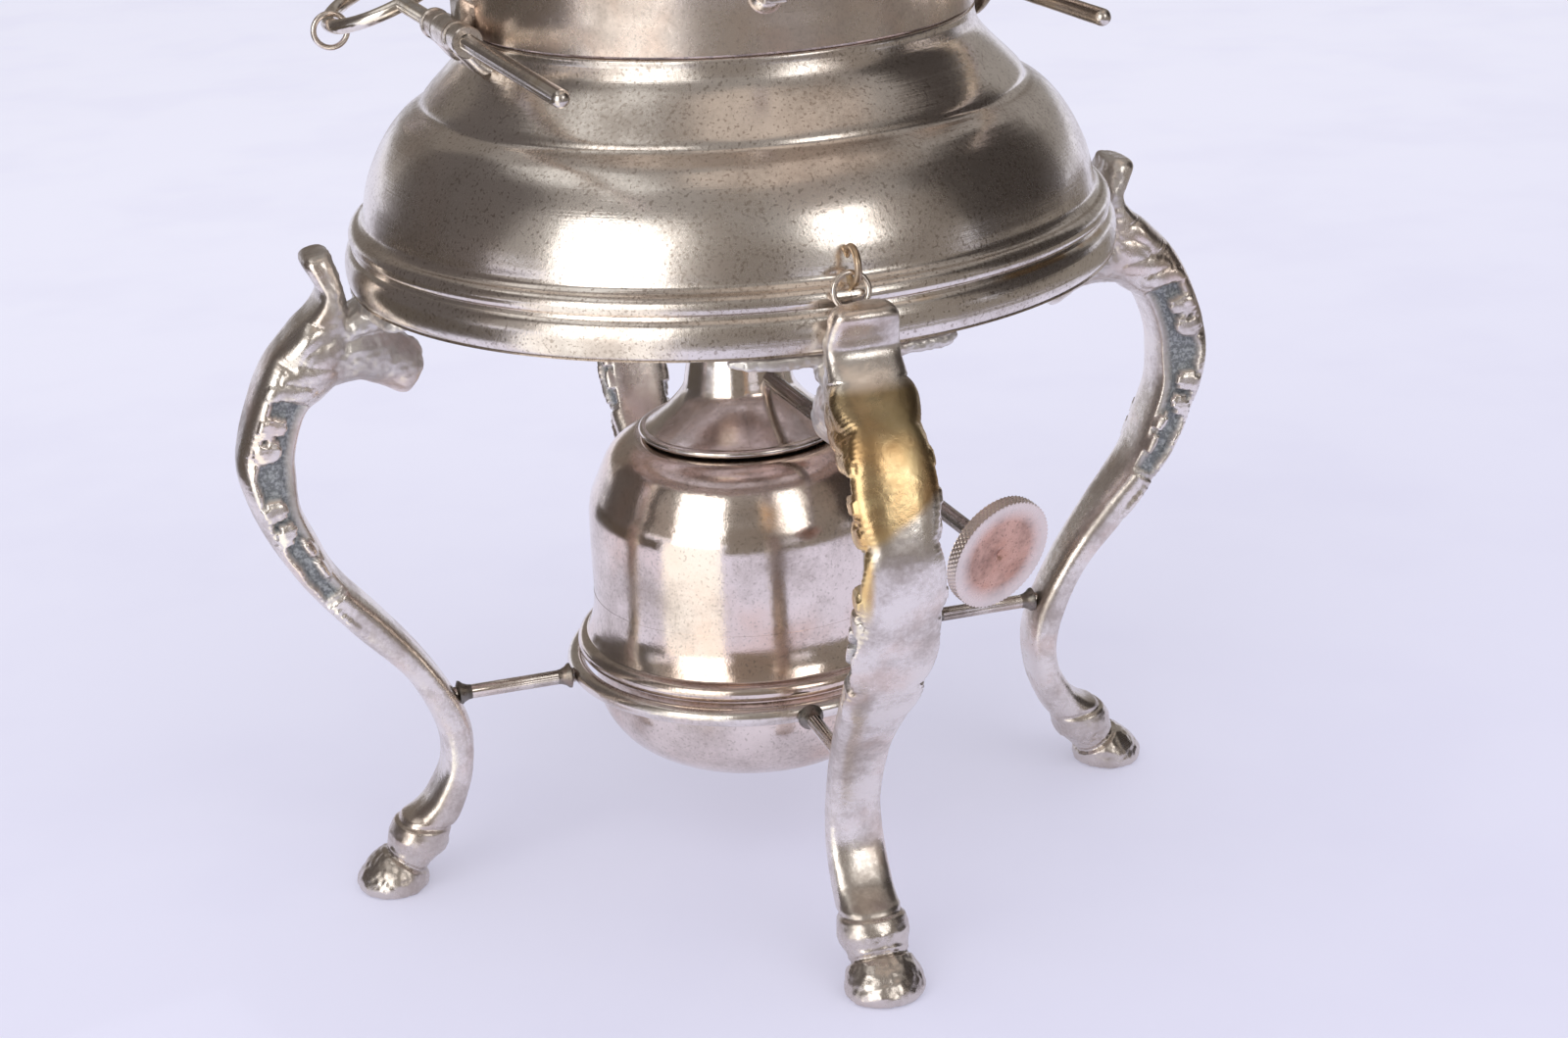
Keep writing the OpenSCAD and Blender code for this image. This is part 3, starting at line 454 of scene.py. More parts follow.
class KETTLE_OT_legs(bpy.types.Operator):
    """Models one cast leg with its scalloped edges, relief, hoof, arms and lug, and sets four of them"""

    bl_idname = "kettle.legs"
    bl_label = "Legs"

    def execute(self, context):
        sizes = context.scene.kettle_leg
        reach, width = sizes.reach / MM, sizes.width / MM
        stations = [(reach - inward, z, radians(tilt), thick, width + extra)
                    for inward, z, tilt, thick, extra in curve(LEG_LINE, 8)]
        sides = 48
        rings = []
        for r, z, tilt, thick, wide in stations:
            # A leg is nearly square above the hoof, and round at its sole.
            square = step(z, 6, 18)
            ring = []
            for k in range(sides):
                a = 2 * pi * k / sides
                x = thick / 2 * rounded(cos(a), 1 - (0.45 if cos(a) > 0 else 0.2) * square)
                y = wide / 2 * rounded(sin(a), 1 - 0.34 * square)
                ring.append(Vector((r + x * cos(tilt), y, z + x * sin(tilt))))
            rings.append(ring)
        leg = joined([wrapped("leg", rings), self.arm(), self.lug()], "leg")
        modified(leg, "REMESH", mode="VOXEL", voxel_size=0.00034, use_smooth_shade=True)
        modified(leg, "SMOOTH", factor=0.5, iterations=3)
        self.carve(leg, stations, sizes)
        f = finish()
        material = leg_plate("cast silver plate", f)
        golden = leg_plate("cast silver plate worn to brass", f, golden=True)
        for name, turn, skin in (("leg_back", 90, material), ("leg_left", 180, material),
                                 ("leg_right", 0, material), ("leg_front", -90, golden)):
            new = copy_of(leg, "cast_" + name, Matrix.Rotation(radians(turn), 4, "Z"))
            dress(new, skin, "stand", "silver_plate", name)
        bpy.data.objects.remove(leg)
        return {"FINISHED"}

    def arm(self):
        """The flat arms soldered under the rim, thinning to their ends."""
        radius, height, steps = 71.4, 122.2, 40
        rings = []
        for i in range(steps + 1):
            a = radians(-17 + 34 * i / steps)
            out = Vector((cos(a), sin(a), 0))
            swell = min(1, 0.4 + 0.2 * min(i, steps - i))
            rings.append([
                Vector((radius * cos(a), radius * sin(a), height)) + out * 3 * swell * rounded(cos(t), 0.6)
                + Vector((0, 0, 1.4 * swell * rounded(sin(t), 0.6)))
                for t in [2 * pi * k / 24 for k in range(24)]
            ])
        return wrapped("arm", rings)

    def lug(self):
        """The lug behind the leg's root, which ends in a dished round boss, and the solder over it."""
        line = [(82, 112.6, 8.6, 6.8), (78, 113.4, 8, 6.9), (74.4, 113.4, 7, 7), (71.6, 112.4, 6, 6.6),
                (69.2, 111, 5.5, 5.9), (67.2, 109.7, 5.4, 5.5), (65.4, 108.4, 5.2, 5.2),
                (64.2, 107.6, 4.4, 4.4), (64.5, 107.8, 3.2, 3.2), (65, 108.1, 1.2, 1.2)]
        solder = [(77.8, 118, 3.6, 6.6), (74, 119.4, 3.4, 6.8), (70.4, 119.6, 2.8, 6.2),
                  (67.4, 119.2, 1.4, 4)]
        around = [2 * pi * k / 32 for k in range(32)]
        tubes = []
        for sections, lean in ((line, Vector((-0.5, 0, 0.866))), (solder, Vector((0, 0, 1)))):
            tubes.append(wrapped("lug", [
                [Vector((x, 0, z)) + high * cos(t) * lean + Vector((0, wide * sin(t), 0)) for t in around]
                for x, z, high, wide in curve(sections, 4)
            ]))
        return joined(tubes, "lug")

    def carve(self, leg, stations, sizes):
        """Cuts the relief, the scalloped edges, the grooves of the hoof and the cast grain into the leg."""
        count = len(leg.data.vertices)
        spots, normals = [0.0] * count * 3, [0.0] * count * 3
        leg.data.vertices.foreach_get("co", spots)
        leg.data.vertices.foreach_get("normal", normals)
        hollows = [0.0] * count
        depth = sizes.relief / MM
        # The first section in each 2 mm of height, and how many sections on either side to search.
        low, reach = {}, 26
        for i, station in enumerate(stations):
            low.setdefault(int(station[1] // 2), i)
        for i in range(count):
            p, n = Vector(spots[3 * i : 3 * i + 3]), Vector(normals[3 * i : 3 * i + 3])
            x, y, z = p.x / MM, p.y / MM, p.z / MM
            first = low.get(int(z // 2), low.get(int(z // 2) - 1, 0))
            near = min(stations[max(0, first - reach) : first + reach],
                       key=lambda s: abs((z - s[1]) * cos(s[2]) - (x - s[0]) * sin(s[2])))
            r, u, tilt, thick, wide = near
            t = (x - r) * cos(tilt) + (z - u) * sin(tilt)
            lift = 0.0
            side = step(abs(n.y), 0.35, 0.75)
            root = step(z, 104, 110) * (1 - step(x, 78, 82))
            # Lobes and hollows on the two sides, which fade out at the lug.
            if side and 64 < u < 118 and abs(y) > 0.3 * wide:
                height, hollow = relief_at(u, t, thick / 2, depth)
                lift += side * height * (1 - root)
                hollows[i] = side * hollow * (1 - root)
            # Bulges between the notches, along the edges of the outer face.
            if NOTCHES[-1] < u < NOTCHES[0] and t > 0.05 * thick:
                high, below = [(a, b) for a, b in zip(NOTCHES, NOTCHES[1:]) if a >= u >= b][0]
                bulge = sin(pi * (high - u) / (high - below)) ** 0.55 - 0.5
                edge = step(abs(y), 0.25 * wide, 0.5 * wide) * step(t, 0.05 * thick, 0.3 * thick)
                p.y += MM * bulge * 1.7 * edge * (1 if y > 0 else -1)
            # The groove across the hoof, the groove above it and the swelling between.
            if z < 16:
                hoof = (x - 74.3) * 0.544 - (z - 4.95) * 0.839
                lift -= 0.75 * max(0, 1 - abs(hoof) / 0.7) * step(x, 66, 70)
                collar = (z - 13.4) - (x - 71.6) * 0.2
                lift -= 0.55 * max(0, 1 - abs(collar) / 0.8)
                pastern = (z - 9.2) - (x - 71.6) * 0.35
                lift += 0.35 * max(0, 1 - abs(pastern) / 2.2)
            # The dish in the lug's round end.
            if x < 71 and 104 < z < 114 and n.x < -0.4:
                away = hypot(y, z - 109)
                lift -= 0.5 * (1 - step(away, 2.6, 4.4))
            # The skin that casting leaves: roughest in the hollows, at the root and on the hoof.
            rough = 0.18 + 0.8 * hollows[i] + 1.5 * root + 0.8 * step(14 - z, 0, 6)
            lift += sizes.grain / MM * rough * (noise.noise(p * 300) + 0.7 * noise.noise(p * 850))
            spots[3 * i : 3 * i + 3] = p + n * lift * MM
            spots[3 * i + 2] = max(0.0, spots[3 * i + 2])
            # A quarter of the painted shade also goes on the root by the lug, under the rim, where solder
            # sits too.
            hollows[i] = max(hollows[i], 0.25 * root)
        leg.data.vertices.foreach_set("co", spots)
        leg.data.update()
        modified(leg, "SMOOTH", factor=0.35, iterations=1)
        # The hollow attribute marks where the legs' material paints shade.
        leg.data.attributes.new("hollow", "FLOAT", "POINT").data.foreach_set("value", hollows)


def leg_plate(name, f, golden=False):
    """Cast metal under worn plate with a fine grain: bright on the raised parts, with grey painted as shade
    in the hollows and at the root by the lug, where the metal is also made less metallic. On the front leg
    the plate has worn to brass on the upper outer face, and along the left edge."""
    material, tree, shader, place, (across, depth, height) = start(name)
    cloud = node(tree, "TexNoise", place, 1 / 0.011, 4, CLOUDY)
    pits = node(tree, "TexNoise", place, 1 / 0.0008, 3, 0.7)
    spread = node(tree, "Math", cloud, node(tree, "Math", pits, 0.35, **TIMES), **PLUS)
    tarnish = node(tree, "MapRange", spread, 0.56, 0.92, **SMOOTH)
    colour = node(tree, "Mix", node(tree, "Math", tarnish, 0.8, **TIMES), f.silver, f.tarnish, **COLOUR)
    warm = node(tree, "TexNoise", place, 1 / 0.014, 3, CLOUDY)
    warm = node(tree, "Math", node(tree, "MapRange", warm, 0.5, 0.72, **SMOOTH), 0.3, **TIMES)
    colour = node(tree, "Mix", warm, colour, f.copper, **COLOUR)
    hoof = node(tree, "Math", node(tree, "MapRange", height, 0.024, 0.008, **SMOOTH), 0.45, **TIMES)
    colour = node(tree, "Mix", hoof, colour, f.tarnish, **COLOUR)
    if golden:
        slope = node(tree, "Math", height, node(tree, "Math", across, 0.54, **TIMES), operation="SUBTRACT")
        waves = node(tree, "TexNoise", place, 1 / 0.012, 3, CLOUDY)
        slope = node(tree, "Math", slope, node(tree, "Math", waves, 0.004, **TIMES), **PLUS)
        root = node(tree, "MapRange", height, 0.1215, 0.119, **SMOOTH)
        high = node(tree, "Math", node(tree, "MapRange", slope, 0.1, 0.1025, **SMOOTH), root, **TIMES)
        edge = node(tree, "MapRange", across, -0.0052, -0.0066, **SMOOTH)
        left = node(tree, "Math", edge, node(tree, "MapRange", height, 0.08, 0.086, **SMOOTH), **TIMES)
        left = node(tree, "Math", left, root, **TIMES)
        outward = node(tree, "Math", depth, -1, **TIMES)
        face = node(tree, "MapRange", outward, 0.077, 0.083, **SMOOTH)
        worn = node(tree, "Math", node(tree, "Math", high, left, operation="MAXIMUM"), face, **TIMES)
        rubbed = node(tree, "TexNoise", place, 100, 2, CLOUDY)
        rubbed = node(tree, "MapRange", rubbed, 0.4, 0.65, **SMOOTH)
        gilt = node(tree, "Mix", rubbed, f.brass, f.gilt, **COLOUR)
        olive = node(tree, "Math", node(tree, "MapRange", height, 0.111, 0.117, **SMOOTH), 0.6, **TIMES)
        gilt = node(tree, "Mix", olive, gilt, linear("#7A6F4E"), **COLOUR)
        colour = node(tree, "Mix", node(tree, "Math", worn, 0.88, **TIMES), colour, gilt, **COLOUR)
    # Painted shade: the hollow mask turns the hollows, and a little of the root, grey and less metallic, as
    # if in shade; at the root the grey also stands for solder.
    hollow = node(tree, "Attribute", attribute_name="hollow").outputs["Fac"]
    grey = node(tree, "MapRange", pits, 0.42, 0.62, **SMOOTH)
    grey = node(tree, "Mix", grey, linear("#6F7476"), f.solder, **COLOUR)
    colour = node(tree, "Mix", node(tree, "Math", hollow, 0.95, **TIMES), colour, grey, **COLOUR)
    # Less metal where the hollows are painted as shade.
    painted_shade = node(tree, "Math", 1, node(tree, "Math", hollow, 0.7, **TIMES), operation="SUBTRACT")
    roughness = node(tree, "Math", node(tree, "Math", tarnish, 0.12, **TIMES), 0.25, **PLUS)
    roughness = node(tree, "Math", roughness, node(tree, "Math", hollow, 0.24, **TIMES), **PLUS)
    grain = node(tree, "Math", node(tree, "Math", hollow, 2, **TIMES), 0.5, **PLUS)
    grain = node(tree, "Math", pits, grain, **TIMES)
    feed(shader, "Base Color", colour)
    feed(shader, "Roughness", roughness)
    feed(shader, "Metallic", painted_shade)
    feed(shader, "Normal", node(tree, "Bump", Strength=0.35, Distance=0.00025, Height=grain))
    return material


class KETTLE_OT_burner(bpy.types.Operator):
    """Turns the flask, its bead and bowl, and the cone cap"""

    bl_idname = "kettle.burner"
    bl_label = "Burner"

    def execute(self, context):
        f = finish()
        # Radius of the flask, and the heights of its bottom, its bead and the cap's flange, in mm.
        r, low, seat, cap = 31.8, flask_base.z / MM, 41.5, 87.0
        wall = (
            curve([(r, seat + 4.2), (r, seat + 12), (r, cap - 19), (r - 0.4, cap - 13.5), (r - 2, cap - 9.3),
                   (r - 4.9, cap - 3.7), (r - 8.9, cap - 0.9), (r - 14, cap - 0.4), (12.2, cap - 0.3)], 8)
            + [(12.2, cap - 1.2)]
            + curve([(r - 14.2, cap - 1.3), (r - 9.4, cap - 1.9), (r - 5.7, cap - 4.4), (r - 2.9, cap - 9.8),
                     (r - 1.3, cap - 13.7), (r - 0.9, cap - 19), (r - 0.9, seat + 4.2)], 4)
            + [(r, seat + 4.2)]
        )
        flask = turned("flask_wall", wall)
        bowl_out = [(0, low), (r - 21.8, low)] + curve(
            [(r - 20, low + 0.05), (r - 15, low + 0.6), (r - 9, low + 2.4), (r - 4, low + 5.9),
             (r - 0.8, low + 10.4), (r + 0.4, low + 14.4), (r + 0.6, seat - 4), (r + 0.4, seat - 0.1)], 7
        )
        bowl_in = curve(
            [(r - 0.5, seat - 0.1), (r - 0.3, seat - 4), (r - 0.5, low + 14.4), (r - 1.7, low + 10.6),
             (r - 4.8, low + 6.6), (r - 9.5, low + 3.2), (r - 15.2, low + 1.5), (r - 21.8, low + 0.9)], 4
        )
        bowl = turned("flask_bottom", bowl_out + bowl_in + [(0, low + 0.9)])
        bead_line = (
            [(r - 0.4, seat + 0.05), (r + 2.6, seat + 0.05)]
            + arc((r + 2, seat + 2), 1.97, -65, 85, 14)
            + curve([(r + 1.95, seat + 4.1), (r + 1.15, seat + 5.9), (r + 0.5, seat + 8.2),
                     (r + 0.16, seat + 10.4), (r + 0.05, seat + 13)], 6)
            + [(r - 0.05, seat + 13), (r - 0.05, seat + 4.15), (r - 0.4, seat + 4.1), (r - 0.4, seat + 0.05)]
        )
        bead = turned("flask_band", bead_line, angle=45)
        cone_out = (
            arc((19.85, cap + 0.75), 0.78, -90, 100, 10)
            + curve([(19.2, cap + 1.45), (17.6, cap + 2.6), (14.1, cap + 5.6), (11.4, cap + 8.9),
                     (10.6, cap + 12), (10, cap + 15.4), (9.2, cap + 17.9), (8.3, cap + 18.9)], 7)
            + [(7.6, cap + 19), (7.3, cap + 18.9)]
        )
        cone_in = [(0, cap + 18.7), (0, cap + 18.1), (7.4, cap + 18.1)] + curve(
            [(9, cap + 15), (9.7, cap + 12), (10.4, cap + 9), (13.1, cap + 6), (17, cap + 2.4),
             (18.4, cap)], 4
        )
        cone = turned("cone_cap", cone_out + cone_in + [(19.85, cap)])
        # Plate rubbed thin over spun copper: nearly a mirror, with pink clouds.
        copper = plate("silver plate worn to copper", mixed(f.silver, f.copper, 0.2), f.tarnish, f.copper,
                       0.6, 0.08, 0.016, lines=0.25, specks=0.5)
        for piece, name in ((flask, "flask_body"), (bowl, "flask_bowl"), (bead, "flask_bead")):
            dress(piece, copper, "burner", "copper_tint", name)
        # Plate polished after spinning: sharp reflections, a little warm.
        silver = plate("polished silver plate", f.silver, f.tarnish, f.copper, 0.3, 0.1, 0.012, lines=0.3)
        dress(cone, silver, "burner_cap", "copper_tint", "cap_cone")
        self.knob(f)
        return {"FINISHED"}

    def knob(self, f):
        """The winder's knob: a disc with a fine crossed knurl, a bright rim and a dished face."""
        radius, thick, count = 11.3, 2.6, 288
        teeth, slant, cut_depth = 36, 2.6, 0.26
        profile = ([(0.01, 0), (radius - 0.9, 0)] + [(radius - 0.25, 0.12 + 2.36 * i / 14) for i in range(15)]
                   + [(radius - 0.7, 2.6), (radius - 1.5, 2.56), (radius - 2.6, 2.3), (radius - 4.5, 2.18),
                      (2.2, 2.22), (1.2, 2.2), (0.7, 1.8), (0.01, 1.75)])
        rings = []
        for row, (r, x) in enumerate(profile):
            ring = []
            for k in range(count):
                a = 2 * pi * k / count
                cut = 0
                if 2 <= row <= 16:
                    ridge = abs(sin(teeth * a + slant * x)) * abs(sin(teeth * a - slant * x))
                    cut = cut_depth * (1 - ridge)
                ring.append(Vector((x, (r - cut) * cos(a), (r - cut) * sin(a))))
            rings.append(ring)
        knob = wrapped("knob", rings, angle=60)
        rim = [step(hypot(v.co.y, v.co.z) / MM, 6.2, 10) for v in knob.data.vertices]
        knob.data.attributes.new("rim", "FLOAT", "POINT").data.foreach_set("value", rim)
        # The rod leaves the flask's axis at this height, and its end is this far out.
        height, way, slope, end = 0.102, -69.8, 15.1, 81.1
        knob.data.transform(
            Matrix.Translation((0, 0, height)) @ Matrix.Rotation(radians(way), 4, "Z")
            @ Matrix.Rotation(radians(slope), 4, "Y") @ Matrix.Translation(((end - thick) * MM, 0, 0))
        )
        # Turned copper whose plate is left only at the rim: a dull pink face with a paler edge.
        face = plate("copper knob with worn plate", linear("#D9AE9A"), linear("#8F6F62"), linear("#C48F78"),
                     0.6, 0.24, 0.006, specks=0.6)
        tree = face.node_tree
        shader = tree.nodes["Principled BSDF"]
        left = node(tree, "Attribute", attribute_name="rim").outputs["Fac"]
        left = node(tree, "Math", left, 0.75, **TIMES)
        body = shader.inputs["Base Color"].links[0].from_socket
        feed(shader, "Base Color", node(tree, "Mix", left, body, f.silver, **COLOUR))
        dress(knob, face, "winder", "copper_tint", "winder_knob")


def mixed(a, b, t):
    """A colour between a and b."""
    return [x + (y - x) * t for x, y in zip(a, b)]


class KETTLE_OT_kettle(bpy.types.Operator):
    """Spins the kettle's body"""

    bl_idname = "kettle.kettle"
    bl_label = "Kettle"

    def execute(self, context):
        f = finish()
        z, top = kettle_low.z / MM, kettle_high.z / MM
        foot, belly, mouth, thick = 48.7, 56.0, 29.0, 1.2
        wall = [(foot, z), (foot, z + 4), (foot + 0.2, z + 10), (foot + 2.2, z + 22), (belly - 1, z + 40),
                (belly, z + 46), (belly - 0.8, z + 51.5), (belly - 4.5, z + 56.5), (belly - 11, z + 60.3),
                (mouth + 8, top - 2.4), (mouth + 3, top - 1.4), (mouth + 1.6, top - 0.8), (mouth + 1.2, top)]
        outer = curve(wall, 6)
        inner = [(x - thick * (0.6 if high > top - 3 else 1), high - (1.1 if high > z + 50 else 0))
                 for x, high in outer]
        inner[0] = (foot - thick, z)
        body = turned("kettle_wall", outer + inner[::-1] + [outer[0]], 160)
        # Plate rubbed thin over spun copper, dulled by the flame: wide soft reflections with pink clouds.
        copper = plate("silver plate worn to copper on the kettle", mixed(f.silver, f.copper, 0.2), f.tarnish,
                       f.copper, 0.6, 0.2, 0.014, lines=0.3)
        dress(body, copper, "kettle", "copper_tint", "kettle_body")
        return {"FINISHED"}


class KETTLE_OT_small_parts(bpy.types.Operator):
    """Gives the drawn, cast and turned small parts smooth faces and their finishes"""

    bl_idname = "kettle.small_parts"
    bl_label = "Pins, links, rod and small parts"

    def execute(self, context):
        f = finish()
        # Wire drawn through a die and plated: a narrow bright line along it, with a little warm metal.
        silver = plate("drawn silver-plated wire", f.silver, f.tarnish, f.copper, 0.25, 0.16, 0.01)
        # Drawn steel: greyer and darker than the plate beside it.
        steel = plate("drawn steel rod", linear("#B9B5B0"), linear("#6E6965"), f.copper, 0.2, 0.16, 0.006)
        # Turned brass that fingers have worn: soft yellow, brighter in spots.
        brass = plate("worn brass", mixed(f.brass, f.silver, 0.3), f.tarnish, f.gilt, 0.6, 0.24, 0.006)
        # Copper under the last of its plate: pink, with soft reflections.
        copper = plate("worn copper", mixed(f.silver, f.copper, 0.35), f.tarnish, f.copper, 0.7, 0.16, 0.012)
        # Cast and then chased by hand: softer reflections and more dark specks than spun plate.
        cast = plate("cast and chased silver plate", f.silver, f.tarnish, f.copper, 0.3, 0.2, 0.009,
                     specks=0.6)
        # Plated wire that slides in its knuckles: bright, with brass showing in patches.
        pin = plate("silver-plated pin worn to brass", f.silver, f.tarnish, f.gilt, 0.35, 0.14, 0.008)
        # Turned wood, stained black and waxed: nearly black, with a faint brown sheen.
        wood = plate("blackened wood", linear("#231B17"), linear("#120E0C"), linear("#3A2A20"),
                     0.3, 0.35, 0.01)
        # Woven cotton, dry and scorched: pale and without shine.
        cotton = plate("cotton wick", linear("#D8CDBB"), linear("#8A8178"), linear("#3A332C"),
                       0.4, 0.9, 0.004)
        for dry in (wood, cotton):
            feed(dry.node_tree.nodes["Principled BSDF"], "Metallic", 0)
        skins = {"copper_tint": copper, "brass_worn": brass, "ebonised_wood": wood, "cotton_wick": cotton}
        special = {"left_pin": pin, "right_pin": pin, "winder_shaft": steel, "handle_ear_front": cast,
                   "handle_ear_back": cast}
        bodies = {name: body for body, names in frame["record"]["behaviour"]["bodies"].items()
                  for name in names}
        elsewhere = {"stand_hood", "leg_front", "leg_right", "leg_back", "leg_left", "kettle_body",
                     "flask_body", "flask_bowl", "flask_bead", "cap_cone", "winder_knob",
                     "left_stand_knuckles", "right_stand_knuckles"}
        for part in frame["record"]["subparts"]:
            name, slot = part["node"], part["material_slot"]
            if name in elsewhere:
                continue
            piece = copy_of(frame["nodes"][name], "fine_" + name, Matrix())
            deselect()
            piece.select_set(True)
            context.view_layer.objects.active = piece
            tidy_mesh(piece, 32)
            if name.startswith("handle_ear"):
                modified(piece, "REMESH", mode="VOXEL", voxel_size=0.0004, use_smooth_shade=True)
                modified(piece, "SMOOTH", factor=0.5, iterations=8)
            dress(piece, special.get(name, skins.get(slot, silver)), bodies[name], slot, name)
        self.brazing(f)
        for side, name in ((-1, "left_stand_knuckles"), (1, "right_stand_knuckles")):
            self.knuckles(side, name, cast)
        return {"FINISHED"}

    def knuckles(self, side, name, skin):
        """Two tubes round a hinge pin, each with a foot soldered to the hood's neck."""
        tube = turned("tube", [
            (1.65, -3.85), (2.75, -3.85), (2.95, -3.55), (2.95, -2.7), (2.65, -2.35), (2.65, 2.35),
            (2.95, 2.7), (2.95, 3.55), (2.75, 3.85), (1.65, 3.85), (1.65, -3.85),
        ], 40)
        tube.data.transform(Matrix.Rotation(radians(90), 4, "Y"))
        sections = curve([(0.3, -2, 1.9), (1.5, -3.8, 1.5), (2.9, -5.2, 1.8), (4.2, -6, 2.2)], 4)
        around = [2 * pi * k / 24 for k in range(24)]
        foot = wrapped("foot", [
            [Vector((3.3 * rounded(cos(t), 0.6), -side * across + wide * sin(t), height + 0.5 * sin(t)))
             for t in around]
            for across, height, wide in sections
        ])
        one = joined([tube, foot], "knuckle")
        hinge = (Matrix.Rotation(radians(4), 4, "Z") @ Matrix.Translation((side * 0.0525, 0, 0.172))
                 @ Matrix.Rotation(radians(-90), 4, "Z"))
        pair = [copy_of(one, "knuckle", hinge @ Matrix.Translation((along * MM, 0, 0))) for along in (-8, 8)]
        bpy.data.objects.remove(one)
        dress(joined(pair, "fine_" + name), skin, "stand", "silver_plate", name)

    def brazing(self, f):
        """Fillets of brazing metal where the spokes meet the ring and the legs."""
        collar = [(1.4, -2.6), (1.55, -1.4), (1.95, -0.5), (2.5, 0.1), (2.6, 0.5), (1.6, 0.9), (0.4, 0.9),
                  (0.4, -2.6), (1.4, -2.6)]
        one = turned("collar", collar, 24, 60)
        height = 0.0393
        blobs = []
        for turn in range(4):
            for x, way in ((39.3, -90), (61.3, 90)):
                place = (Matrix.Rotation(radians(90 * turn), 4, "Z") @ Matrix.Translation((x * MM, 0, height))
                         @ Matrix.Rotation(radians(way), 4, "Y"))
                blobs.append(copy_of(one, "collar", place))
        bpy.data.objects.remove(one)
        # Brazing metal run with a torch and never polished: dull, grey and specked.
        dark = plate("brazing metal", linear("#8F8B84"), linear("#5D5751"), f.copper, 0.3, 0.3, 0.003,
                     specks=0.7)
        dress(joined(blobs, "spoke_brazing"), dark, "stand", "silver_plate")


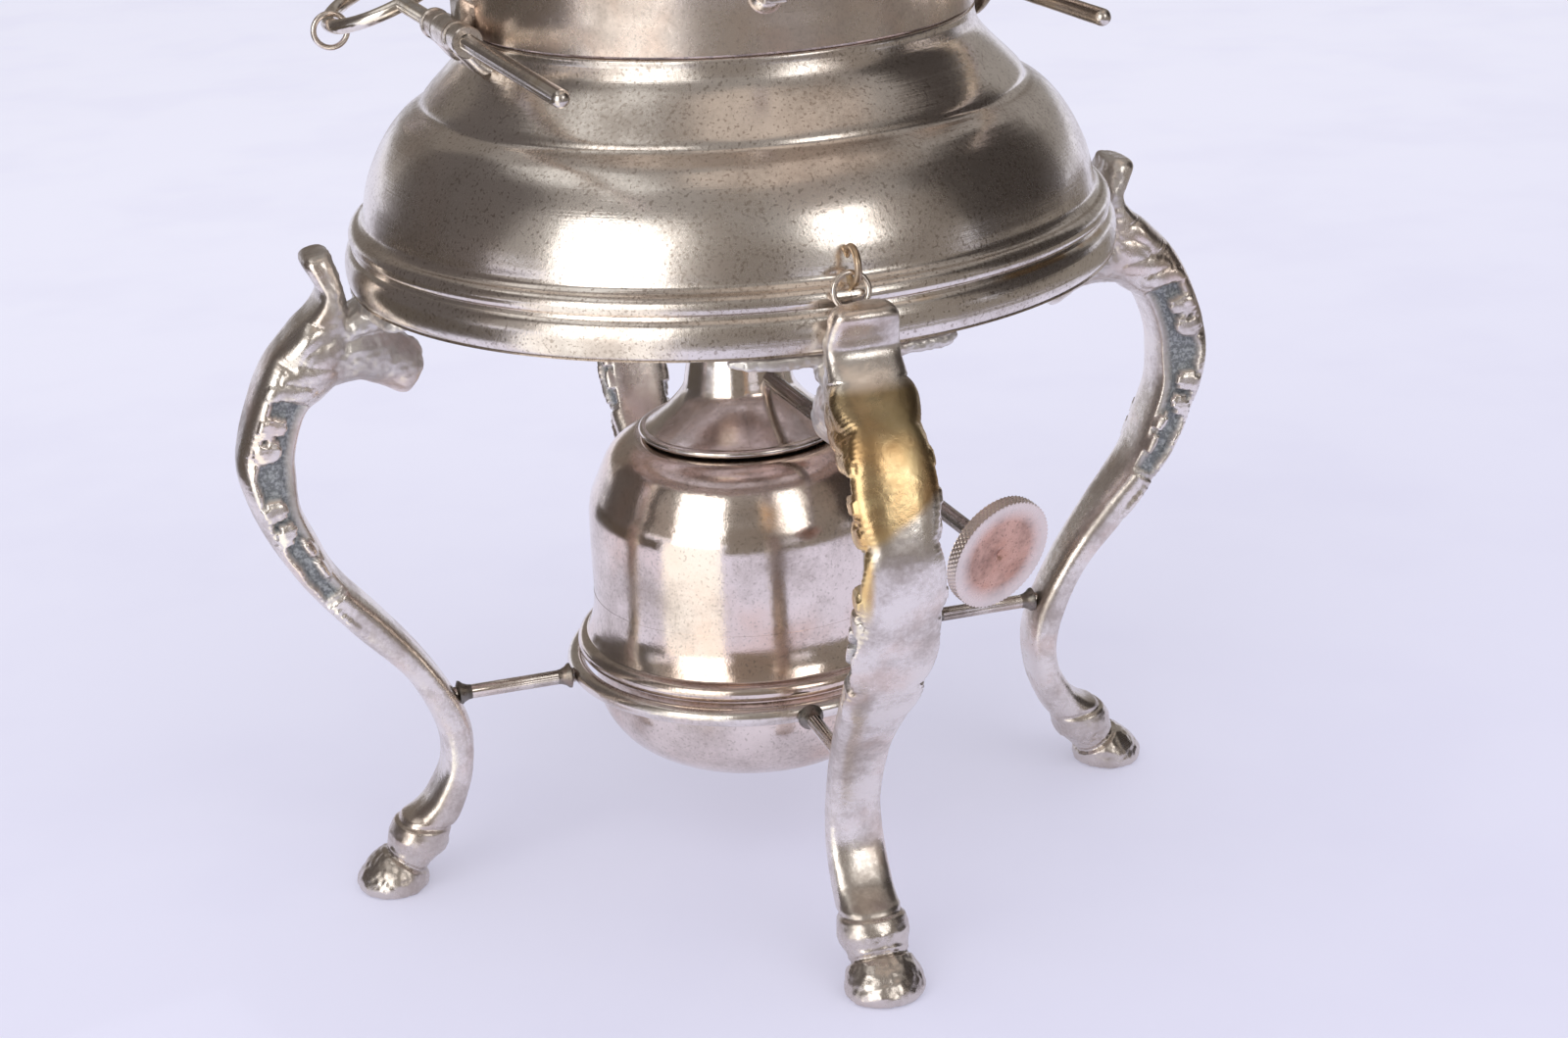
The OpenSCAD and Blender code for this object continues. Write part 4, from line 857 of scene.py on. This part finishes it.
class KETTLE_OT_stage(bpy.types.Operator):
    """Lays the pale floor and sets the studio's panels, lights and camera"""

    bl_idname = "kettle.stage"
    bl_label = "Stage"

    def execute(self, context):
        deselect()
        bpy.ops.mesh.primitive_plane_add(size=12, location=(0, 0, -0.0002))
        floor = context.object
        floor.name = "floor"
        # Smooth matt paper with faint cloudy fibres. It runs from pale lilac near the camera to nearly white
        # far off: painted light, the far paper drawn brighter as though more light falls there.
        material, tree, shader, place, parts = start("pale paper")
        shine = 0.36
        # Painted light: the paper is brighter further from the camera.
        far = node(tree, "MapRange", parts[1], -0.35, 0.75, **SMOOTH)
        paper_and_painted_light = node(tree, "Mix", far, linear("#E2E1F4"), linear("#F3F3FF"), **COLOUR)
        fibre = node(tree, "TexNoise", place, 1 / 0.09, 3, CLOUDY)
        fibre = node(tree, "Math", node(tree, "MapRange", fibre, 0.42, 0.7, **SMOOTH), 0.12, **TIMES)
        paper_and_painted_light = node(tree, "Mix", fibre, paper_and_painted_light, linear("#D2D0EA"), **COLOUR)
        dim = node(tree, "Mix", 1, paper_and_painted_light, linear("#D2D2D2"), blend_type="MULTIPLY", **COLOUR)
        feed(shader, "Base Color", dim)
        feed(shader, "Emission Color", paper_and_painted_light)
        feed(shader, "Emission Strength", shine)
        feed(shader, "Roughness", 0.75)
        feed(shader, "Specular IOR Level", 0.2)
        floor.data.materials.append(material)
        self.world(context)
        self.room()
        for name, size, power, place, aim in (
            ("left_softbox", 1.1, 5, (-0.85, -0.75, 1.1), (0, 0, 0.1)),
            ("right_softbox", 0.9, 3, (0.45, -1.0, 1.1), (0, 0, 0.1)),
        ):
            bpy.ops.object.light_add(type="AREA", location=place)
            lamp = context.object
            lamp.name = name
            lamp.data.size = size
            lamp.data.energy = power
            lamp.visible_camera = False
            lamp.visible_glossy = False
            lamp.rotation_euler = (Vector(aim) - Vector(place)).to_track_quat("-Z", "Y").to_euler()
        camera = bpy.data.objects.new("camera", bpy.data.cameras.new("camera"))
        context.collection.objects.link(camera)
        camera.data.lens = 65.25
        camera.data.sensor_width = 36
        camera.data.clip_start = 0.01
        camera.matrix_world = (
            Matrix.Translation((-0.145237, -0.521275, 0.266897))
            @ Matrix.Rotation(radians(-16.377), 4, "Z")
            @ Matrix.Rotation(radians(69.6935), 4, "X")
            @ Matrix.Rotation(-0.0492821, 4, "Z")
        )
        context.scene.camera = camera
        context.scene.view_settings.view_transform = "Standard"
        return {"FINISHED"}

    def world(self, context):
        """Pale all round, softer where it only lights the scene."""
        world = bpy.data.worlds.new("studio")
        context.scene.world = world
        world.use_nodes = True
        tree = world.node_tree
        tree.nodes.clear()
        path = node(tree, "LightPath").outputs
        mirrored = node(tree, "Math", path["Is Glossy Ray"], path["Is Transmission Ray"], **PLUS)
        seen = node(tree, "Math", path["Is Camera Ray"], mirrored, use_clamp=True, **PLUS)
        soft = node(tree, "Background", linear("#F4F3FB"), 0.9)
        pale = node(tree, "Background", linear("#F3F3FD"), 1.0)
        node(tree, "OutputWorld", node(tree, "MixShader", seen, soft, pale))

    def room(self):
        """Grey walls, a bright window and soft panels that the metal mirrors. Only reflections see them.
        Each is (name, direction, height above the horizon, width, height, distance, colour, strength),
        in degrees and metres. Direction 0 is towards the front leg and rises to the right."""
        panels = [
            ("window", -52, 14, 36, 56, 1.9, "#FFFDFA", 2.6),
            ("right_panel", 21, 28, 17, 25, 1.9, "#FFFDFA", 2.6),
            ("ceiling_panel", -92, 62, 40, 16, 1.9, "#FFFDFA", 0.9),
            ("top_panel", 35, 76, 44, 26, 1.9, "#FFEFE2", 0.6),
            ("camera_screen", -14, 10, 36, 44, 2.1, "#857D76", 1.0),
            ("front_wall", 40, 18, 34, 44, 2.3, "#857D76", 1.0),
            ("right_wall", 86, 24, 58, 58, 2.2, "#413C3A", 1.0),
            ("left_wall", -118, 22, 62, 64, 2.2, "#5F5957", 1.0),
            ("back_wall", 175, 30, 110, 40, 2.5, "#7C756F", 1.0),
        ]
        for name, direction, rise, wide, high, far, colour, strength in panels:
            across, up = radians(direction), radians(rise)
            way = Vector((sin(across) * cos(up), -cos(across) * cos(up), sin(up)))
            bpy.ops.mesh.primitive_plane_add(size=1)
            panel = bpy.context.object
            panel.name = name
            place = Matrix.Translation(way * far) @ way.to_track_quat("Z", "Y").to_matrix().to_4x4()
            size = (2 * far * sin(radians(wide / 2)), 2 * far * sin(radians(high / 2)))
            panel.data.transform(place @ Matrix.Diagonal((size[0], size[1], 1, 1)))
            self.glow(panel, name, colour, strength)
        for name, first, last, near, colour, strength in (
            ("table_glare", -76, -34, 0.12, "#FFFDFA", 1.25), ("table_left", -152, -78, 0.3, "#5A534D", 1.0),
            ("table_right", -32, 128, 0.34, "#8A837C", 1.0),
        ):
            bpy.ops.mesh.primitive_grid_add(x_subdivisions=24, y_subdivisions=1, size=1)
            panel = bpy.context.object
            panel.name = name
            for corner in panel.data.vertices:
                angle = radians(first + (last - first) * (corner.co.x + 0.5))
                away = near if corner.co.y < 0 else 2.6
                corner.co = (away * sin(angle), -away * cos(angle), 0.001)
            self.glow(panel, name, colour, strength)
        bpy.ops.mesh.primitive_uv_sphere_add(radius=3, segments=48, ring_count=24)
        dome = bpy.context.object
        dome.name = "room_walls"
        bpy.ops.object.mode_set(mode="EDIT")
        bpy.ops.mesh.select_all(action="SELECT")
        bpy.ops.mesh.bisect(plane_co=(0, 0, 0.3), plane_no=(0, 0, 1), clear_inner=True)
        bpy.ops.object.mode_set(mode="OBJECT")
        self.glow(dome, "room walls", "#98938F", 1.0)

    def glow(self, panel, name, colour, strength):
        """Makes a panel shine with its colour, for reflections only."""
        material = bpy.data.materials.new(name)
        material.use_nodes = True
        tree = material.node_tree
        tree.nodes.remove(tree.nodes["Principled BSDF"])
        feed(tree.nodes["Material Output"], "Surface", node(tree, "Emission", linear(colour), strength))
        panel.data.materials.append(material)
        panel.visible_camera = panel.visible_diffuse = panel.visible_shadow = False


OPERATORS = [
    KETTLE_OT_small_parts, KETTLE_OT_hood, KETTLE_OT_legs, KETTLE_OT_burner, KETTLE_OT_kettle,
    KETTLE_OT_stage,
]


class KETTLE_PT_panel(bpy.types.Panel):
    bl_label = "Spirit kettle on stand"
    bl_idname = "KETTLE_PT_panel"
    bl_space_type = "VIEW_3D"
    bl_region_type = "UI"
    bl_category = "Kettle"

    def draw(self, context):
        scene = context.scene
        for group in (scene.kettle_hood, scene.kettle_leg, scene.kettle_finish):
            for name in group.__annotations__:
                self.layout.prop(group, name)
        for operator in OPERATORS:
            self.layout.operator(operator.bl_idname)


CLASSES = [HoodSizes, LegSizes, Finish, *OPERATORS, KETTLE_PT_panel]


def register():
    for item in CLASSES:
        bpy.utils.register_class(item)
    bpy.types.Scene.kettle_hood = PointerProperty(type=HoodSizes)
    bpy.types.Scene.kettle_leg = PointerProperty(type=LegSizes)
    bpy.types.Scene.kettle_finish = PointerProperty(type=Finish)


def unregister():
    del bpy.types.Scene.kettle_hood, bpy.types.Scene.kettle_leg, bpy.types.Scene.kettle_finish
    for item in reversed(CLASSES):
        bpy.utils.unregister_class(item)


def main():
    register()
    for operator in OPERATORS:
        area, name = operator.bl_idname.split(".")
        getattr(getattr(bpy.ops, area), name)()


if __name__ == "__main__":
    main()
